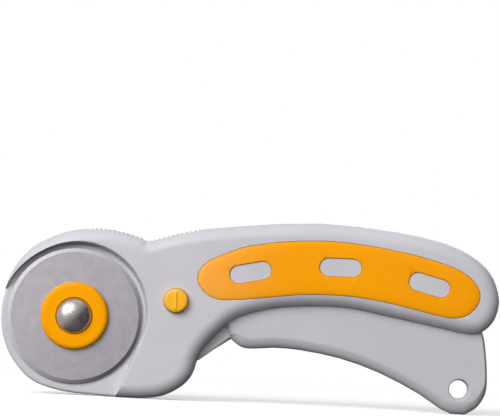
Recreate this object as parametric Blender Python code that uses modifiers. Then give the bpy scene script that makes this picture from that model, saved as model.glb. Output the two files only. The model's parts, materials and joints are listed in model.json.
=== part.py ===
"""Rotary cutter: a squeeze lever between two handle shells carries the blade, with a cross-bolt lock and a clamping nut.

The cutter is modelled lying on its side, with the blade's axis at the origin: X runs from the blade to the tail, Y
runs up the handle and Z points out of its front face. The root empty then stands it on its two lowest edges.
"""

import math

import bmesh
import bpy
from mathutils import Matrix, Vector
from mathutils.geometry import interpolate_bezier

MM = 0.001

# Overall sizes.
BLADE_DIAMETER = 45.0 * MM
HANDLE_LENGTH = 141.6 * MM  # from the blade's axis to the tail
BODY_THICKNESS = 18.6 * MM

# Handle shells.
EDGE_ROUNDING = 4.6 * MM
SIDE_WALL = 2.3 * MM
FACE_WALL = 2.7 * MM
PARTING_GAP = 0.3 * MM
GUARD_THICKNESS = 9.6 * MM  # both guard plates and the space between them
GUARD_WALL = 1.8 * MM
GUARD_RIM = 2.0 * MM
POCKET_RADIUS = 23.7 * MM
POCKET_FLARE = 1.2 * MM  # how far the pocket widens towards its open end
BOSS_RADIUS = 2.9 * MM
GAP = 0.3 * MM  # between pieces that rest on each other
SLIDING_GAP = 0.5 * MM  # between pieces that pass each other
RUNNING_GAP = 0.15 * MM  # all round a turning shaft

# Grip inlays.
INLAY_DEPTH = 1.3 * MM
INLAY_PROUD = 0.25 * MM
INLAY_ROUNDING = 0.4 * MM
WINDOW_LENGTH = 14.2 * MM
WINDOW_WIDTH = 6.2 * MM

# Thumb rest.
RIDGE_PITCH = 1.6 * MM
RIDGE_DEPTH = 0.45 * MM

# Lever.
SQUEEZE = math.radians(11.0)
TRIGGER_THICKNESS = 9.0 * MM
TRIGGER_ROUNDING = 3.2 * MM
ARM_THICKNESS = 6.0 * MM
ARM_WIDTH = 7.2 * MM
LINK_THICKNESS = 3.2 * MM
LINK_WIDTH = 10.0 * MM
WEB_WIDTH = 8.4 * MM
LOCK_WEB_RADIUS = 7.0 * MM
WEB_STEP = 0.15 * MM  # each web is this much thinner on each face than the one it grows from
EYE_RADIUS = 8.5 * MM
EYE_BOSS_RADIUS = 5.0 * MM
EYE_BOSS_HEIGHT = 5.2 * MM
HUB_RADIUS = 6.2 * MM
HUB_BOSS_RADIUS = 3.6 * MM
PIVOT_BOSS_RADIUS = 4.4 * MM
PIVOT_BOSS_HEIGHT = 0.7 * MM
PIVOT_PIN_RADIUS = 2.0 * MM
HANGING_HOLE_RADIUS = 3.35 * MM

# Return spring.
SPRING_WIRE = 0.9 * MM
SPRING_PITCH = 0.95 * MM
SPRING_LEG = 8.5 * MM
PEG_RADIUS = 0.9 * MM

# Lock.
LOCK_BUTTON_RADIUS = 4.0 * MM
LOCK_PROUD = 3.0 * MM
LOCK_RIB = 0.4 * MM
LOCK_BOLT_RADIUS = 2.5 * MM
LOCK_NECK_RADIUS = 1.5 * MM
LOCK_FLANGE = 0.9 * MM  # how far the flange stands out of the button
LOCK_FLANGE_THICKNESS = 0.7 * MM
LOCK_CLEARANCE = 0.35 * MM
LOCK_JOINT = 2.8 * MM  # how deep the bolt's neck sits in the rear button

# Blade, its holder and its clamp.
BLADE_THICKNESS = 0.3 * MM
BLADE_BEVEL = 1.1 * MM
BLADE_HOLE_RADIUS = 4.0 * MM
BLADE_LOBE_RADIUS = 2.65 * MM
BLADE_LOBE_REACH = 5.9 * MM
RING_RADIUS = 11.25 * MM
RING_THICKNESS = 2.6 * MM
RING_ROUNDING = 1.2 * MM
RING_SEAT_DEPTH = 1.5 * MM
HUB_WALL = 0.55 * MM  # the ring's hub, which fills the blade's hole round the bolt
AXLE_RADIUS = BLADE_HOLE_RADIUS - GAP - HUB_WALL - RUNNING_GAP
AXLE_HEAD_RADIUS = 6.0 * MM
AXLE_HEAD_HEIGHT = 4.2 * MM
WASHER_RADIUS = 9.0 * MM
WASHER_THICKNESS = 0.6 * MM
WAVE_THICKNESS = 0.3 * MM
WAVE_HEIGHT = 0.3 * MM
KNOB_RADIUS = 11.0 * MM
KNOB_SCALLOP = 0.55 * MM
KNOB_SCALLOPS = 12
KNOB_ROUNDING = 1.0 * MM
INSERT_RADIUS = 5.2 * MM

# Housing screws.
SCREW_HEAD_RADIUS = 1.9 * MM
SCREW_HEAD_HEIGHT = 1.6 * MM
SCREW_RADIUS = 1.1 * MM
SCREW_DEPTH = 4.3 * MM  # from the rear face to the seat of the head
SCREW_SLOT = 0.5 * MM

# What follows from them.
HALF = BODY_THICKNESS / 2
CAVITY = HALF - FACE_WALL
GUARD = GUARD_THICKNESS / 2
HEAD_CAVITY = GUARD - GUARD_WALL
PARTING = PARTING_GAP / 2
TRIGGER = TRIGGER_THICKNESS / 2
ARM = ARM_THICKNESS / 2
LINK = LINK_THICKNESS / 2
HUB = CAVITY - PIVOT_BOSS_HEIGHT - GAP
PIN = HALF - 1.3 * MM
SCREW_SEAT = HALF - SCREW_DEPTH
KNOB_FACE = -(HALF + LOCK_PROUD)
BLADE_SEAT = EYE_BOSS_HEIGHT + GAP
RING_BASE = BLADE_SEAT + BLADE_THICKNESS + GAP
RING_FACE = RING_BASE + RING_THICKNESS
SEAT_FLOOR = RING_FACE - RING_SEAT_DEPTH
BEYOND = 20 * MM  # how far a cutter runs past what it cuts
BIG = 400 * MM

# The shape was drawn for these two sizes: the head grows with the blade, and the grip stretches with the handle.
DRAWN_BLADE = 45.0 * MM
DRAWN_LENGTH = 141.6 * MM
NECK = 44.0 * MM
HEAD_SCALE = BLADE_DIAMETER / DRAWN_BLADE
GRIP_STRETCH = (HANDLE_LENGTH - NECK * HEAD_SCALE) / (DRAWN_LENGTH - NECK)
TURN_STEP = math.radians(15.0)  # the most that an outline turns at one point
SHARP = True


def head(x, y, *kind):
    """A point of the head, given in millimetres."""
    return (x * MM * HEAD_SCALE, y * MM * HEAD_SCALE, *kind)


def grip(x, y, *kind):
    """A point of the grip, given in millimetres."""
    return (NECK * HEAD_SCALE + (x * MM - NECK) * GRIP_STRETCH, y * MM, *kind)


BLADE_AXIS = Vector((0.0, 0.0))
PIVOT = Vector(head(29.3, -16.7))
LOCK = Vector(head(34.0, 5.0))
HANGING_HOLE = Vector(grip(128.2, -24.6))
POCKET_CENTRE = Vector(head(1.0, 1.0))
HEEL = Vector(head(17.25, -27.25))
TAIL = Vector(grip(128.0, -32.9))
BASE_LINE = (TAIL - HEEL).normalized()  # the cutter stands along this line
HEEL_FOOT = (HEEL + BASE_LINE * 4.25 * MM, HEEL - BASE_LINE * 4.25 * MM)
TAIL_FOOT = (TAIL - BASE_LINE * 2.2 * MM, TAIL + BASE_LINE * 2.2 * MM)
ARM_ENDS = (head(39.6, -11.6), head(51.5, -3.6))
SCREWS = (head(15.5, 24.0), head(19.6, -22.8), grip(56.0, 25.9), grip(118.0, 22.0))
WINDOWS = ((grip(58.8, 14.3), 9.5), (grip(88.7, 15.9), -2.5), (grip(118.2, 10.1), -17.0))
LINK_RADIUS = (PIVOT - BLADE_AXIS).length
LINK_ANGLE = math.atan2(BLADE_AXIS.y - PIVOT.y, BLADE_AXIS.x - PIVOT.x)
LOCK_RADIUS = (LOCK - PIVOT).length
LOCK_ANGLE = math.atan2(LOCK.y - PIVOT.y, LOCK.x - PIVOT.x)
TRIGGER_FRONT = 24.2 * MM * HEAD_SCALE  # the trigger's front edge is an arc round the pivot

HOUSING_OUTLINE = (
    head(-24.7, -1.3),
    head(-24.1, 5.3),
    head(-21.3, 14.2),
    head(-14.7, 22.5),
    head(-4.7, 27.5),
    head(4.3, 29.1),
    head(13.0, 28.8),
    head(22.0, 26.2),
    head(24.3, 24.9, SHARP),
    head(28.7, 26.0),
    head(35.3, 27.7),
    head(42.0, 28.8),
    grip(55.3, 29.9),
    grip(68.7, 30.7),
    grip(82.0, 30.8),
    grip(95.3, 29.7),
    grip(108.7, 27.7),
    grip(122.0, 24.7),
    grip(132.0, 20.3),
    grip(138.7, 14.2),
    grip(141.6, 6.0),
    grip(140.7, 0.0),
    grip(138.0, -4.0),
    grip(134.4, -5.9),
    grip(128.1, -5.4),
    grip(112.1, -1.7),
    grip(93.7, 2.4),
    grip(84.5, 3.3),
    grip(68.7, 3.0),
    grip(55.3, 0.0),
    grip(49.7, -3.7),
    head(43.7, -9.7),
    head(40.9, -14.2),
    head(39.0, -19.6),
    head(35.3, -23.7),
    head(28.7, -26.8),
    (*HEEL_FOOT[0], SHARP),
    (*HEEL_FOOT[1], SHARP),
    head(5.3, -26.3),
    head(-4.7, -25.0),
    head(-14.7, -21.2),
    head(-21.3, -13.7),
    head(-24.0, -6.7),
)

INLAY_OUTLINE = (
    head(41.0, 12.0),
    head(43.1, 16.9),
    grip(48.7, 20.0),
    grip(58.7, 23.3),
    grip(75.3, 24.9),
    grip(91.3, 24.3),
    grip(112.0, 20.5),
    grip(125.8, 16.2),
    grip(132.4, 12.1),
    grip(135.2, 7.0),
    grip(133.6, 2.2),
    grip(128.6, -0.9),
    grip(121.2, -0.3),
    grip(107.5, 3.3),
    grip(92.0, 6.2),
    grip(75.3, 6.8),
    grip(62.0, 5.6),
    grip(49.5, 5.0),
    head(43.9, 7.1),
)

TRIGGER_EDGE = (
    grip(55.6, -10.4),
    grip(59.6, -11.0),
    grip(66.5, -10.7),
    grip(75.3, -11.5),
    grip(88.7, -14.3),
    grip(102.0, -19.2),
    grip(115.3, -26.3),
    grip(122.0, -31.0),
    (*TAIL_FOOT[0], SHARP),
    (*TAIL_FOOT[1], SHARP),
    grip(134.3, -30.6),
    grip(137.2, -26.0),
    grip(137.8, -20.3),
    grip(137.4, -12.0),
    grip(136.3, -5.4),
    grip(134.0, -2.3),
    grip(127.0, -1.9),
    grip(112.0, 1.6),
    grip(93.7, 5.9),
    grip(80.0, 6.9),
    grip(62.0, 5.6),
)


def polar(centre, radius, angle):
    return (centre[0] + radius * math.cos(angle), centre[1] + radius * math.sin(angle))


def arc(centre, radius, start, end, step=TURN_STEP):
    """Points round the centre from one angle to the other, both ends included."""
    count = max(1, math.ceil(abs(end - start) / step - 1e-6))
    return [polar(centre, radius, start + (end - start) * i / count) for i in range(count + 1)]


def smooth(knots, step=TURN_STEP):
    """A closed outline on curves through the knots, smooth but at those marked sharp."""
    points = [Vector(knot[:2]) for knot in knots]
    count = len(points)
    outline = []
    for i, knot in enumerate(knots):
        start, end = points[i], points[(i + 1) % count]
        leave = end - start if len(knot) > 2 else end - points[i - 1]
        arrive = end - start if len(knots[(i + 1) % count]) > 2 else points[(i + 2) % count] - start
        pull = (end - start).length / 3
        turn = leave.angle(arrive) + leave.angle(end - start) + arrive.angle(end - start)
        pieces = max(1, round(turn / 2 / step))
        handles = (start + leave.normalized() * pull, end - arrive.normalized() * pull)
        outline += [tuple(p) for p in interpolate_bezier(start, *handles, end, pieces + 1)[:-1]]
    return outline


def offset(outline, distance):
    """The outline moved outwards by the distance, or inwards if it is negative."""
    points = [Vector(p) for p in outline]
    area = sum(a.cross(b) for a, b in zip(points, points[1:] + points[:1]))
    side = math.copysign(1.0, area)
    moved = []
    for before, point, after in zip(points[-1:] + points[:-1], points, points[1:] + points[:1]):
        first, second = (point - before).normalized(), (after - point).normalized()
        normal = Vector((first.y + second.y, -first.x - second.x)) * side
        moved.append(tuple(point + normal * distance / (1 + first.dot(second))))
    return moved


def belt(first, first_radius, second, second_radius):
    """Two circles and the straight lines that touch both."""
    line = Vector(second) - Vector(first)
    heading = math.atan2(line.y, line.x)
    lean = math.acos((first_radius - second_radius) / line.length)
    around = arc(first, first_radius, heading + lean, heading + math.tau - lean)
    return around + arc(second, second_radius, heading - lean, heading + lean)


def arc_slot(centre, radius, start, end, half_width):
    """A slot bent round the centre, with round ends at the two angles."""
    ahead = arc(polar(centre, radius, end), half_width, end, end + math.pi)
    back = arc(polar(centre, radius, start), half_width, start + math.pi, start + math.tau)
    outer = arc(centre, radius + half_width, start, end)
    inner = arc(centre, radius - half_width, end, start)
    return outer + ahead[1:-1] + inner + back[1:-1]


def obround(centre, length, width, degrees):
    """A slot shape with round ends, tilted by the angle."""
    reach = Vector(((length - width) / 2, 0.0))
    reach.rotate(Matrix.Rotation(math.radians(degrees), 2))
    centre = Vector(centre[:2])
    return belt(centre - reach, width / 2, centre + reach, width / 2)


def pocket_outline(grow=0.0):
    """The blade's pocket, open to the lower left: an arc over the blade, then a straight wall touching it."""
    open_end, flare_end, leave = math.radians(159), math.radians(120), math.radians(-25)
    radius = POCKET_RADIUS * HEAD_SCALE + grow
    wall = []
    for angle in (open_end, math.radians(146), math.radians(133)):
        share = (angle - flare_end) / (open_end - flare_end)
        wall.append(polar(POCKET_CENTRE, radius + POCKET_FLARE * share, angle))
    wall += arc(POCKET_CENTRE, radius, flare_end, leave)
    foot = Vector(wall[-1]) + Vector((math.sin(leave), -math.cos(leave))) * 40 * MM * HEAD_SCALE
    rim_end = Vector(wall[0]) + Vector((math.cos(open_end), math.sin(open_end))) * 40 * MM * HEAD_SCALE
    return wall + [tuple(foot), (rim_end.x, foot.y), tuple(rim_end)]


def head_block():
    """The head up to a side wall's thickness past the pocket, which the grip's cavity stays out of."""
    radius = POCKET_RADIUS * HEAD_SCALE + SIDE_WALL
    leave = math.radians(-25)
    wall = arc(POCKET_CENTRE, radius, math.radians(40), leave)
    foot = Vector(wall[-1]) + Vector((math.sin(leave), -math.cos(leave))) * 40 * MM * HEAD_SCALE
    return wall + [tuple(foot), (-BIG, foot.y), (-BIG, BIG), (wall[0][0], BIG)]


def trigger_outline():
    """The trigger, with its front edge on an arc round the pivot."""
    front = arc(PIVOT, TRIGGER_FRONT, math.radians(51), math.radians(23), math.radians(7))
    return smooth([(*front[0], SHARP)] + front[1:] + list(TRIGGER_EDGE))


def trigger_slot():
    """Where the trigger goes in and out of the handle, between two arcs round the pivot."""
    reach = max((Vector(point) - PIVOT).length for point in trigger_outline()) + SLIDING_GAP
    inner = arc(PIVOT, TRIGGER_FRONT - SLIDING_GAP, math.radians(0), math.radians(58))
    ceiling = [grip(60, 8.5), grip(84, 9.5), grip(112, 5.5), grip(128, 1.8)]
    outer = arc(PIVOT, reach, math.radians(10.5), math.radians(-15), math.radians(3))
    return inner + ceiling + outer


def throat():
    """The opening in the lobe's wall that the lever's arm comes out of."""
    return [head(35.0, -19.4), head(54.0, -6.6), head(56.0, 0.0), head(50.0, 4.0), head(40.0, 2.0), head(34.0, -8.0)]


def between(side, near, far):
    """Two heights on one side of the parting plane, the lower one first."""
    return sorted((side * near, side * far))


class Bench:
    """Where the parts are put together: their collection, the cutters' collection and the axes they hang on."""

    def __init__(self):
        self.parts = self.collection("rotary_cutter")
        self.cutters = self.collection("cutters")
        self.places = {}
        self.root = self.axis("rotary_cutter_root", None, BLADE_AXIS)

    @staticmethod
    def collection(name):
        made = bpy.data.collections.new(name)
        bpy.context.scene.collection.children.link(made)
        return made

    def axis(self, name, parent, place):
        """An empty on one of the mechanism's axes."""
        made = bpy.data.objects.new(name, None)
        made.empty_display_size = 5 * MM
        self.parts.objects.link(made)
        self.places[name] = Vector((place[0], place[1], 0.0))
        made.parent = parent
        made.location = self.places[name] - (self.places[parent.name] if parent else Vector())
        return made

    def piece(self, mesh, axis):
        """An object with its origin on the axis."""
        made = bpy.data.objects.new(mesh.name, mesh)
        mesh.transform(Matrix.Translation(-self.places[axis.name]))
        made.parent = axis
        return made

    def part(self, mesh, finish, axis):
        """A piece of the cutter."""
        made = self.piece(mesh, axis)
        self.parts.objects.link(made)
        mesh.materials.append(finish)
        mesh.shade_smooth()
        mesh.set_sharp_from_angle(angle=math.radians(35))
        return made

    def tool(self, mesh, axis):
        """A shape that cuts a piece or is joined to it."""
        made = self.piece(mesh, axis)
        self.cutters.objects.link(made)
        made.display_type = "WIRE"
        made.hide_render = True
        return made

    def change(self, target, operation, shapes):
        for shape in shapes:
            tool = shape if isinstance(shape, bpy.types.Object) else self.tool(shape, target.parent)
            boolean = target.modifiers.new(tool.name, "BOOLEAN")
            boolean.operation = operation
            boolean.solver = "EXACT"
            boolean.object = tool

    def cut(self, target, *shapes):
        self.change(target, "DIFFERENCE", shapes)

    def join(self, target, *shapes):
        self.change(target, "UNION", shapes)


def material(name, colour, roughness, metallic=0.0):
    made = bpy.data.materials.new(name)
    made.use_nodes = True
    shader = made.node_tree.nodes["Principled BSDF"]
    shader.inputs["Base Color"].default_value = (*colour, 1.0)
    shader.inputs["Roughness"].default_value = roughness
    shader.inputs["Metallic"].default_value = metallic
    made.diffuse_color = (*colour, 1.0)
    return made


def evaluated(name, data, prepare=None):
    """The mesh of a curve, or of a profile with its modifier, welded and facing out."""
    carrier = bpy.data.objects.new(name, data)
    bpy.context.scene.collection.objects.link(carrier)
    if prepare:
        prepare(carrier)
    bpy.context.view_layer.update()
    mesh = bpy.data.meshes.new_from_object(carrier.evaluated_get(bpy.context.evaluated_depsgraph_get()))
    bpy.data.objects.remove(carrier)
    (bpy.data.curves if isinstance(data, bpy.types.Curve) else bpy.data.meshes).remove(data)
    shape = bmesh.new()
    shape.from_mesh(mesh)
    bmesh.ops.remove_doubles(shape, verts=shape.verts, dist=0.002 * MM)
    bmesh.ops.recalc_face_normals(shape, faces=shape.faces)
    shape.to_mesh(mesh)
    shape.free()
    mesh.name = name
    return mesh


def plate(name, outline, bottom, top, rounding=0.0, steps=2):
    """A flat piece between two heights, with the long edges of its outline rounded."""
    curve = bpy.data.curves.new(name, "CURVE")
    curve.dimensions = "2D"
    curve.fill_mode = "BOTH"
    spline = curve.splines.new("POLY")
    spline.points.add(len(outline) - 1)
    for point, place in zip(spline.points, outline):
        point.co = (place[0], place[1], 0.0, 1.0)
    spline.use_cyclic_u = True
    curve.extrude = (top - bottom) / 2 - rounding
    curve.bevel_depth = rounding
    curve.bevel_resolution = steps
    curve.offset = -rounding
    mesh = evaluated(name, curve)
    mesh.transform(Matrix.Translation((0.0, 0.0, (top + bottom) / 2)))
    return mesh


def turned(name, centre, profile, steps=40):
    """A round piece about the centre, from a profile of (radius, height) that runs down its outer side."""
    mesh = bpy.data.meshes.new(name)
    edges = [(i, i + 1) for i in range(len(profile) - 1)]
    if profile[0][0] > 0:
        edges.append((len(profile) - 1, 0))
    mesh.from_pydata([(radius, 0.0, height) for radius, height in profile], edges, [])

    def turn(carrier):
        screw = carrier.modifiers.new("turn", "SCREW")
        screw.steps = steps
        screw.render_steps = steps
        screw.use_merge_vertices = True
        screw.merge_threshold = 0.01 * MM

    made = evaluated(name, mesh, turn)
    made.transform(Matrix.Translation((centre[0], centre[1], 0.0)))
    return made


def disc(name, centre, low, high, radius, steps=24):
    """A plain cylinder between two heights, given in either order."""
    bottom, top = sorted((low, high))
    return turned(name, centre, [(0.0, top), (radius, top), (radius, bottom), (0.0, bottom)], steps)


def combined(name, meshes):
    """One mesh that holds several shapes which don't touch each other."""
    shape = bmesh.new()
    for mesh in meshes:
        shape.from_mesh(mesh)
        bpy.data.meshes.remove(mesh)
    made = bpy.data.meshes.new(name)
    shape.to_mesh(made)
    shape.free()
    return made


def screw_discs(name, low, high, radius, steps=18):
    """A cylinder at each housing screw."""
    return combined(name, [disc(name, place, low, high, radius, steps) for place in SCREWS])


def wire(name, points, thickness):
    """A round wire along the points."""
    curve = bpy.data.curves.new(name, "CURVE")
    curve.dimensions = "3D"
    spline = curve.splines.new("POLY")
    spline.points.add(len(points) - 1)
    for point, place in zip(spline.points, points):
        point.co = (*place, 1.0)
    curve.bevel_depth = thickness / 2
    curve.bevel_resolution = 2
    curve.use_fill_caps = True
    return evaluated(name, curve)


def block(name, centre, bottom, top, length, width, degrees=0.0):
    """A rectangular block standing on the given height, turned about its centre."""
    reach, side = Vector((length / 2, 0.0)), Vector((0.0, width / 2))
    turn = Matrix.Rotation(math.radians(degrees), 2)
    corners = [turn @ (reach * a + side * b) + Vector(centre[:2]) for a, b in ((1, 1), (-1, 1), (-1, -1), (1, -1))]
    return plate(name, corners, bottom, top)


def ridge_grooves(name, side, outline):
    """Grooves across the thumb rest, which follow the top edge on both sides of its valley."""
    heights = between(side, -SLIDING_GAP, HALF - EDGE_ROUNDING)
    grooves = []
    for start, end in ((head(4.5, 0)[0], head(23.0, 0)[0]), (head(26.0, 0)[0], head(42.0, 0)[0])):
        for i in range(int((end - start) / RIDGE_PITCH) + 1):
            x = start + i * RIDGE_PITCH
            low, high = max((e for e in zip(outline, outline[1:]) if e[0][0] <= x < e[1][0]), key=lambda e: e[0][1])
            y = low[1] + (high[1] - low[1]) * (x - low[0]) / (high[0] - low[0])
            half = RIDGE_PITCH / 3
            groove = [(x, y - RIDGE_DEPTH), (x + half, y + RIDGE_DEPTH), (x - half, y + RIDGE_DEPTH)]
            grooves.append(plate(name, groove, *heights))
    return combined(name, grooves)


def make_shell(bench, name, side, finish):
    """One handle shell, on the front (1) or the rear (-1): a hollow grip, a blade pocket and a guard plate."""
    outline = smooth(HOUSING_OUTLINE)
    shell = bench.part(plate(name, outline, -HALF, HALF, EDGE_ROUNDING), finish, bench.root)
    hollow = offset(outline, -SIDE_WALL)
    other_side = between(side, -HALF - BEYOND, PARTING)
    grip_space = bench.tool(plate(f"{name}_grip_space", hollow, -CAVITY, CAVITY), bench.root)
    bench.cut(grip_space, plate(f"{name}_head_block", head_block(), -HALF, HALF))
    bench.cut(
        shell,
        plate(f"{name}_other_side", offset(outline, SIDE_WALL), *other_side),
        plate(f"{name}_pocket", pocket_outline(), *between(side, GUARD, HALF + BEYOND)),
        plate(f"{name}_head_space", offset(outline, -GUARD_RIM), -HEAD_CAVITY, HEAD_CAVITY),
        grip_space,
    )
    bench.join(
        shell,
        screw_discs(f"{name}_screw_bosses", side * PARTING, side * (CAVITY + GAP), BOSS_RADIUS),
        disc(f"{name}_pivot_boss", PIVOT, side * (HUB + GAP), side * (CAVITY + GAP), PIVOT_BOSS_RADIUS),
    )
    slot = TRIGGER + SLIDING_GAP
    neck = ARM + SLIDING_GAP
    kidney = arc_slot(PIVOT, LINK_RADIUS, LINK_ANGLE, LINK_ANGLE + SQUEEZE, EYE_BOSS_RADIUS + SLIDING_GAP)
    bench.cut(
        shell,
        plate(f"{name}_trigger_slot", trigger_slot(), -slot, slot),
        plate(f"{name}_throat", throat(), -neck, neck),
        plate(f"{name}_kidney_slot", kidney, *between(side, 0.0, GUARD + GAP)),
        disc(f"{name}_pivot_bore", PIVOT, 0.0, side * (PIN + GAP), PIVOT_PIN_RADIUS + RUNNING_GAP),
        disc(f"{name}_lock_hole", LOCK, 0.0, side * (HALF + BEYOND), LOCK_BUTTON_RADIUS + GAP),
        ridge_grooves(f"{name}_grooves", side, outline),
    )
    cut_inlay_seat(bench, shell, side)
    return shell


def cut_inlay_seat(bench, shell, side):
    """The shallow seat of the grip inlay, with islands left standing where the inlay has windows."""
    floor = HALF - INLAY_DEPTH
    outline = offset(smooth(INLAY_OUTLINE), GAP)
    seat = bench.tool(plate(f"{shell.name}_inlay_seat", outline, *between(side, floor, HALF + BEYOND)), bench.root)
    bench.cut(seat, windows(f"{shell.name}_islands", -GAP, *between(side, floor - GAP, HALF + 2 * BEYOND)))
    bench.cut(shell, seat)


def windows(name, grow, bottom, top):
    """The inlay's three windows, each larger by the given margin all round."""
    shapes = []
    for centre, tilt in WINDOWS:
        outline = obround(centre, WINDOW_LENGTH + 2 * grow, WINDOW_WIDTH + 2 * grow, tilt)
        shapes.append(plate(name, outline, bottom, top))
    return combined(name, shapes)


def make_front_housing(bench, finish):
    shell = make_shell(bench, "front_housing", 1, finish)
    rest = spring_rest()
    bench.join(shell, disc("front_housing_spring_rest", rest, ARM + 3 * GAP, CAVITY + GAP, PEG_RADIUS, 16))
    bench.cut(shell, screw_discs("front_housing_pilots", 0.0, SCREW_SEAT + GAP, SCREW_RADIUS + RUNNING_GAP, 20))


def make_rear_housing(bench, finish):
    shell = make_shell(bench, "rear_housing", -1, finish)
    bench.cut(
        shell,
        screw_discs("rear_housing_screw_holes", 0.0, -SCREW_SEAT - GAP, SCREW_RADIUS + RUNNING_GAP, 20),
        screw_discs("rear_housing_screw_sinks", -SCREW_SEAT, -HALF - BEYOND, SCREW_HEAD_RADIUS + GAP),
    )


def make_inlay(bench, name, side, finish):
    """A soft inlay in the grip's face, with three windows that the shell's islands fill."""
    outline = smooth(INLAY_OUTLINE)
    heights = between(side, HALF - INLAY_DEPTH + GAP, HALF + INLAY_PROUD)
    inlay = bench.part(plate(name, outline, *heights, INLAY_ROUNDING, steps=1), finish, bench.root)
    bench.cut(inlay, windows(f"{name}_windows", 0.0, *between(side, CAVITY, HALF + BEYOND)))


def make_housing_screw(bench, number, place, finish):
    """A thread-forming screw from the rear, with a cross recess in its head."""
    seat, tip = -SCREW_SEAT - GAP, SCREW_SEAT - GAP
    face = seat - SCREW_HEAD_HEIGHT
    profile = [
        (0.0, tip),
        (SCREW_RADIUS / 2, tip),
        (SCREW_RADIUS, tip - SCREW_RADIUS),
        (SCREW_RADIUS, seat),
        (SCREW_HEAD_RADIUS, seat),
        (SCREW_HEAD_RADIUS, face + SCREW_HEAD_HEIGHT / 2),
        (SCREW_HEAD_RADIUS * 0.75, face),
        (0.0, face),
    ]
    screw = bench.part(turned(f"housing_screw_{number}", place, profile, 14), finish, bench.root)
    for turn in (20.0, 110.0):
        heights = (face - GAP, face + SCREW_HEAD_HEIGHT / 2)
        slot = block(f"screw_{number}_slot_{turn:.0f}", place, *heights, SCREW_HEAD_RADIUS * 1.3, SCREW_SLOT, turn)
        bench.cut(screw, slot)


def make_pivot_pin(bench, finish):
    chamfer = GAP
    profile = [(0.0, PIN), (PIVOT_PIN_RADIUS - chamfer, PIN), (PIVOT_PIN_RADIUS, PIN - chamfer)]
    profile += [(radius, -height) for radius, height in reversed(profile)]
    bench.part(turned("pivot_pin", PIVOT, profile, 32), finish, bench.root)


def coil_radius():
    return HUB_BOSS_RADIUS + GAP + SPRING_WIRE


def spring_rest():
    """The place of the peg in the front shell that holds the return spring's upper leg down."""
    reach = PIVOT.x + SPRING_LEG - PEG_RADIUS
    return (reach, PIVOT.y + coil_radius() + SPRING_WIRE / 2 + GAP + PEG_RADIUS)


def spring_peg():
    """The place of the lever's peg that the return spring's other leg presses on."""
    return (PIVOT.x + coil_radius() + SPRING_WIRE / 2 + GAP + PEG_RADIUS, PIVOT.y + SPRING_LEG - PEG_RADIUS)


def make_return_spring(bench, finish):
    """A torsion spring round the lever's hub, from the lever's peg to the peg in the front shell."""
    radius = coil_radius()
    low = LINK + GAP + SPRING_WIRE / 2
    room = HUB - low - SPRING_WIRE / 2
    turns = math.floor(room / SPRING_PITCH - 0.75) + 0.75
    count = round(turns * 14)
    points = [(PIVOT.x + radius, PIVOT.y + SPRING_LEG, low)]
    for i in range(count + 1):
        x, y = polar(PIVOT, radius, -math.tau * turns * i / count)
        points.append((x, y, low + SPRING_PITCH * turns * i / count))
    points.append((PIVOT.x + SPRING_LEG, PIVOT.y + radius, low + SPRING_PITCH * turns))
    bench.part(wire("return_spring", points, SPRING_WIRE), finish, bench.root)


def make_lever(bench, axis, finish):
    """The squeeze lever: a trigger with a hanging hole, an arm to the hub, a link to the blade's eye and a lock web."""
    body = plate("trigger_lever", trigger_outline(), -TRIGGER, TRIGGER, TRIGGER_ROUNDING)
    lever = bench.part(body, finish, axis)
    web_top = polar(PIVOT, LOCK_RADIUS, LOCK_ANGLE - SQUEEZE / 2)
    link, lock_web, web = (LINK - WEB_STEP * number for number in (1, 2, 3))
    bench.join(
        lever,
        plate("lever_arm", belt(ARM_ENDS[0], ARM_WIDTH / 2, ARM_ENDS[1], ARM_WIDTH / 2 - GAP), -ARM, ARM),
        plate("lever_web", belt(PIVOT, WEB_WIDTH / 2, ARM_ENDS[1], WEB_WIDTH / 2 - GAP), -web, web),
        disc("lever_hub", PIVOT, -LINK, LINK, HUB_RADIUS),
        plate("lever_link", belt(PIVOT, LINK_WIDTH / 2, BLADE_AXIS, LINK_WIDTH / 2 + GAP), -link, link),
        disc("lever_eye", BLADE_AXIS, -LINK, LINK, EYE_RADIUS),
        plate("lever_lock_web", belt(PIVOT, LOCK_WEB_RADIUS - GAP, web_top, LOCK_WEB_RADIUS), -lock_web, lock_web),
        disc("lever_eye_boss", BLADE_AXIS, -EYE_BOSS_HEIGHT, EYE_BOSS_HEIGHT, EYE_BOSS_RADIUS),
        disc("lever_hub_boss", PIVOT, -HUB, HUB, HUB_BOSS_RADIUS),
        disc("lever_spring_peg", spring_peg(), 0.0, ARM + GAP, PEG_RADIUS, 16),
    )
    bench.cut(
        lever,
        disc("lever_pivot_bore", PIVOT, -HALF, HALF, PIVOT_PIN_RADIUS + RUNNING_GAP),
        disc("lever_axle_bore", BLADE_AXIS, -HALF, HALF, AXLE_RADIUS + RUNNING_GAP),
        disc("lever_hanging_hole", HANGING_HOLE, -HALF, HALF, HANGING_HOLE_RADIUS),
        disc("lever_lock_hole_open", LOCK, -HALF, HALF, LOCK_BOLT_RADIUS + GAP),
        disc(
            "lever_lock_hole_shut",
            polar(PIVOT, LOCK_RADIUS, LOCK_ANGLE - SQUEEZE),
            -HALF,
            HALF,
            LOCK_BOLT_RADIUS + GAP,
        ),
    )


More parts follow.
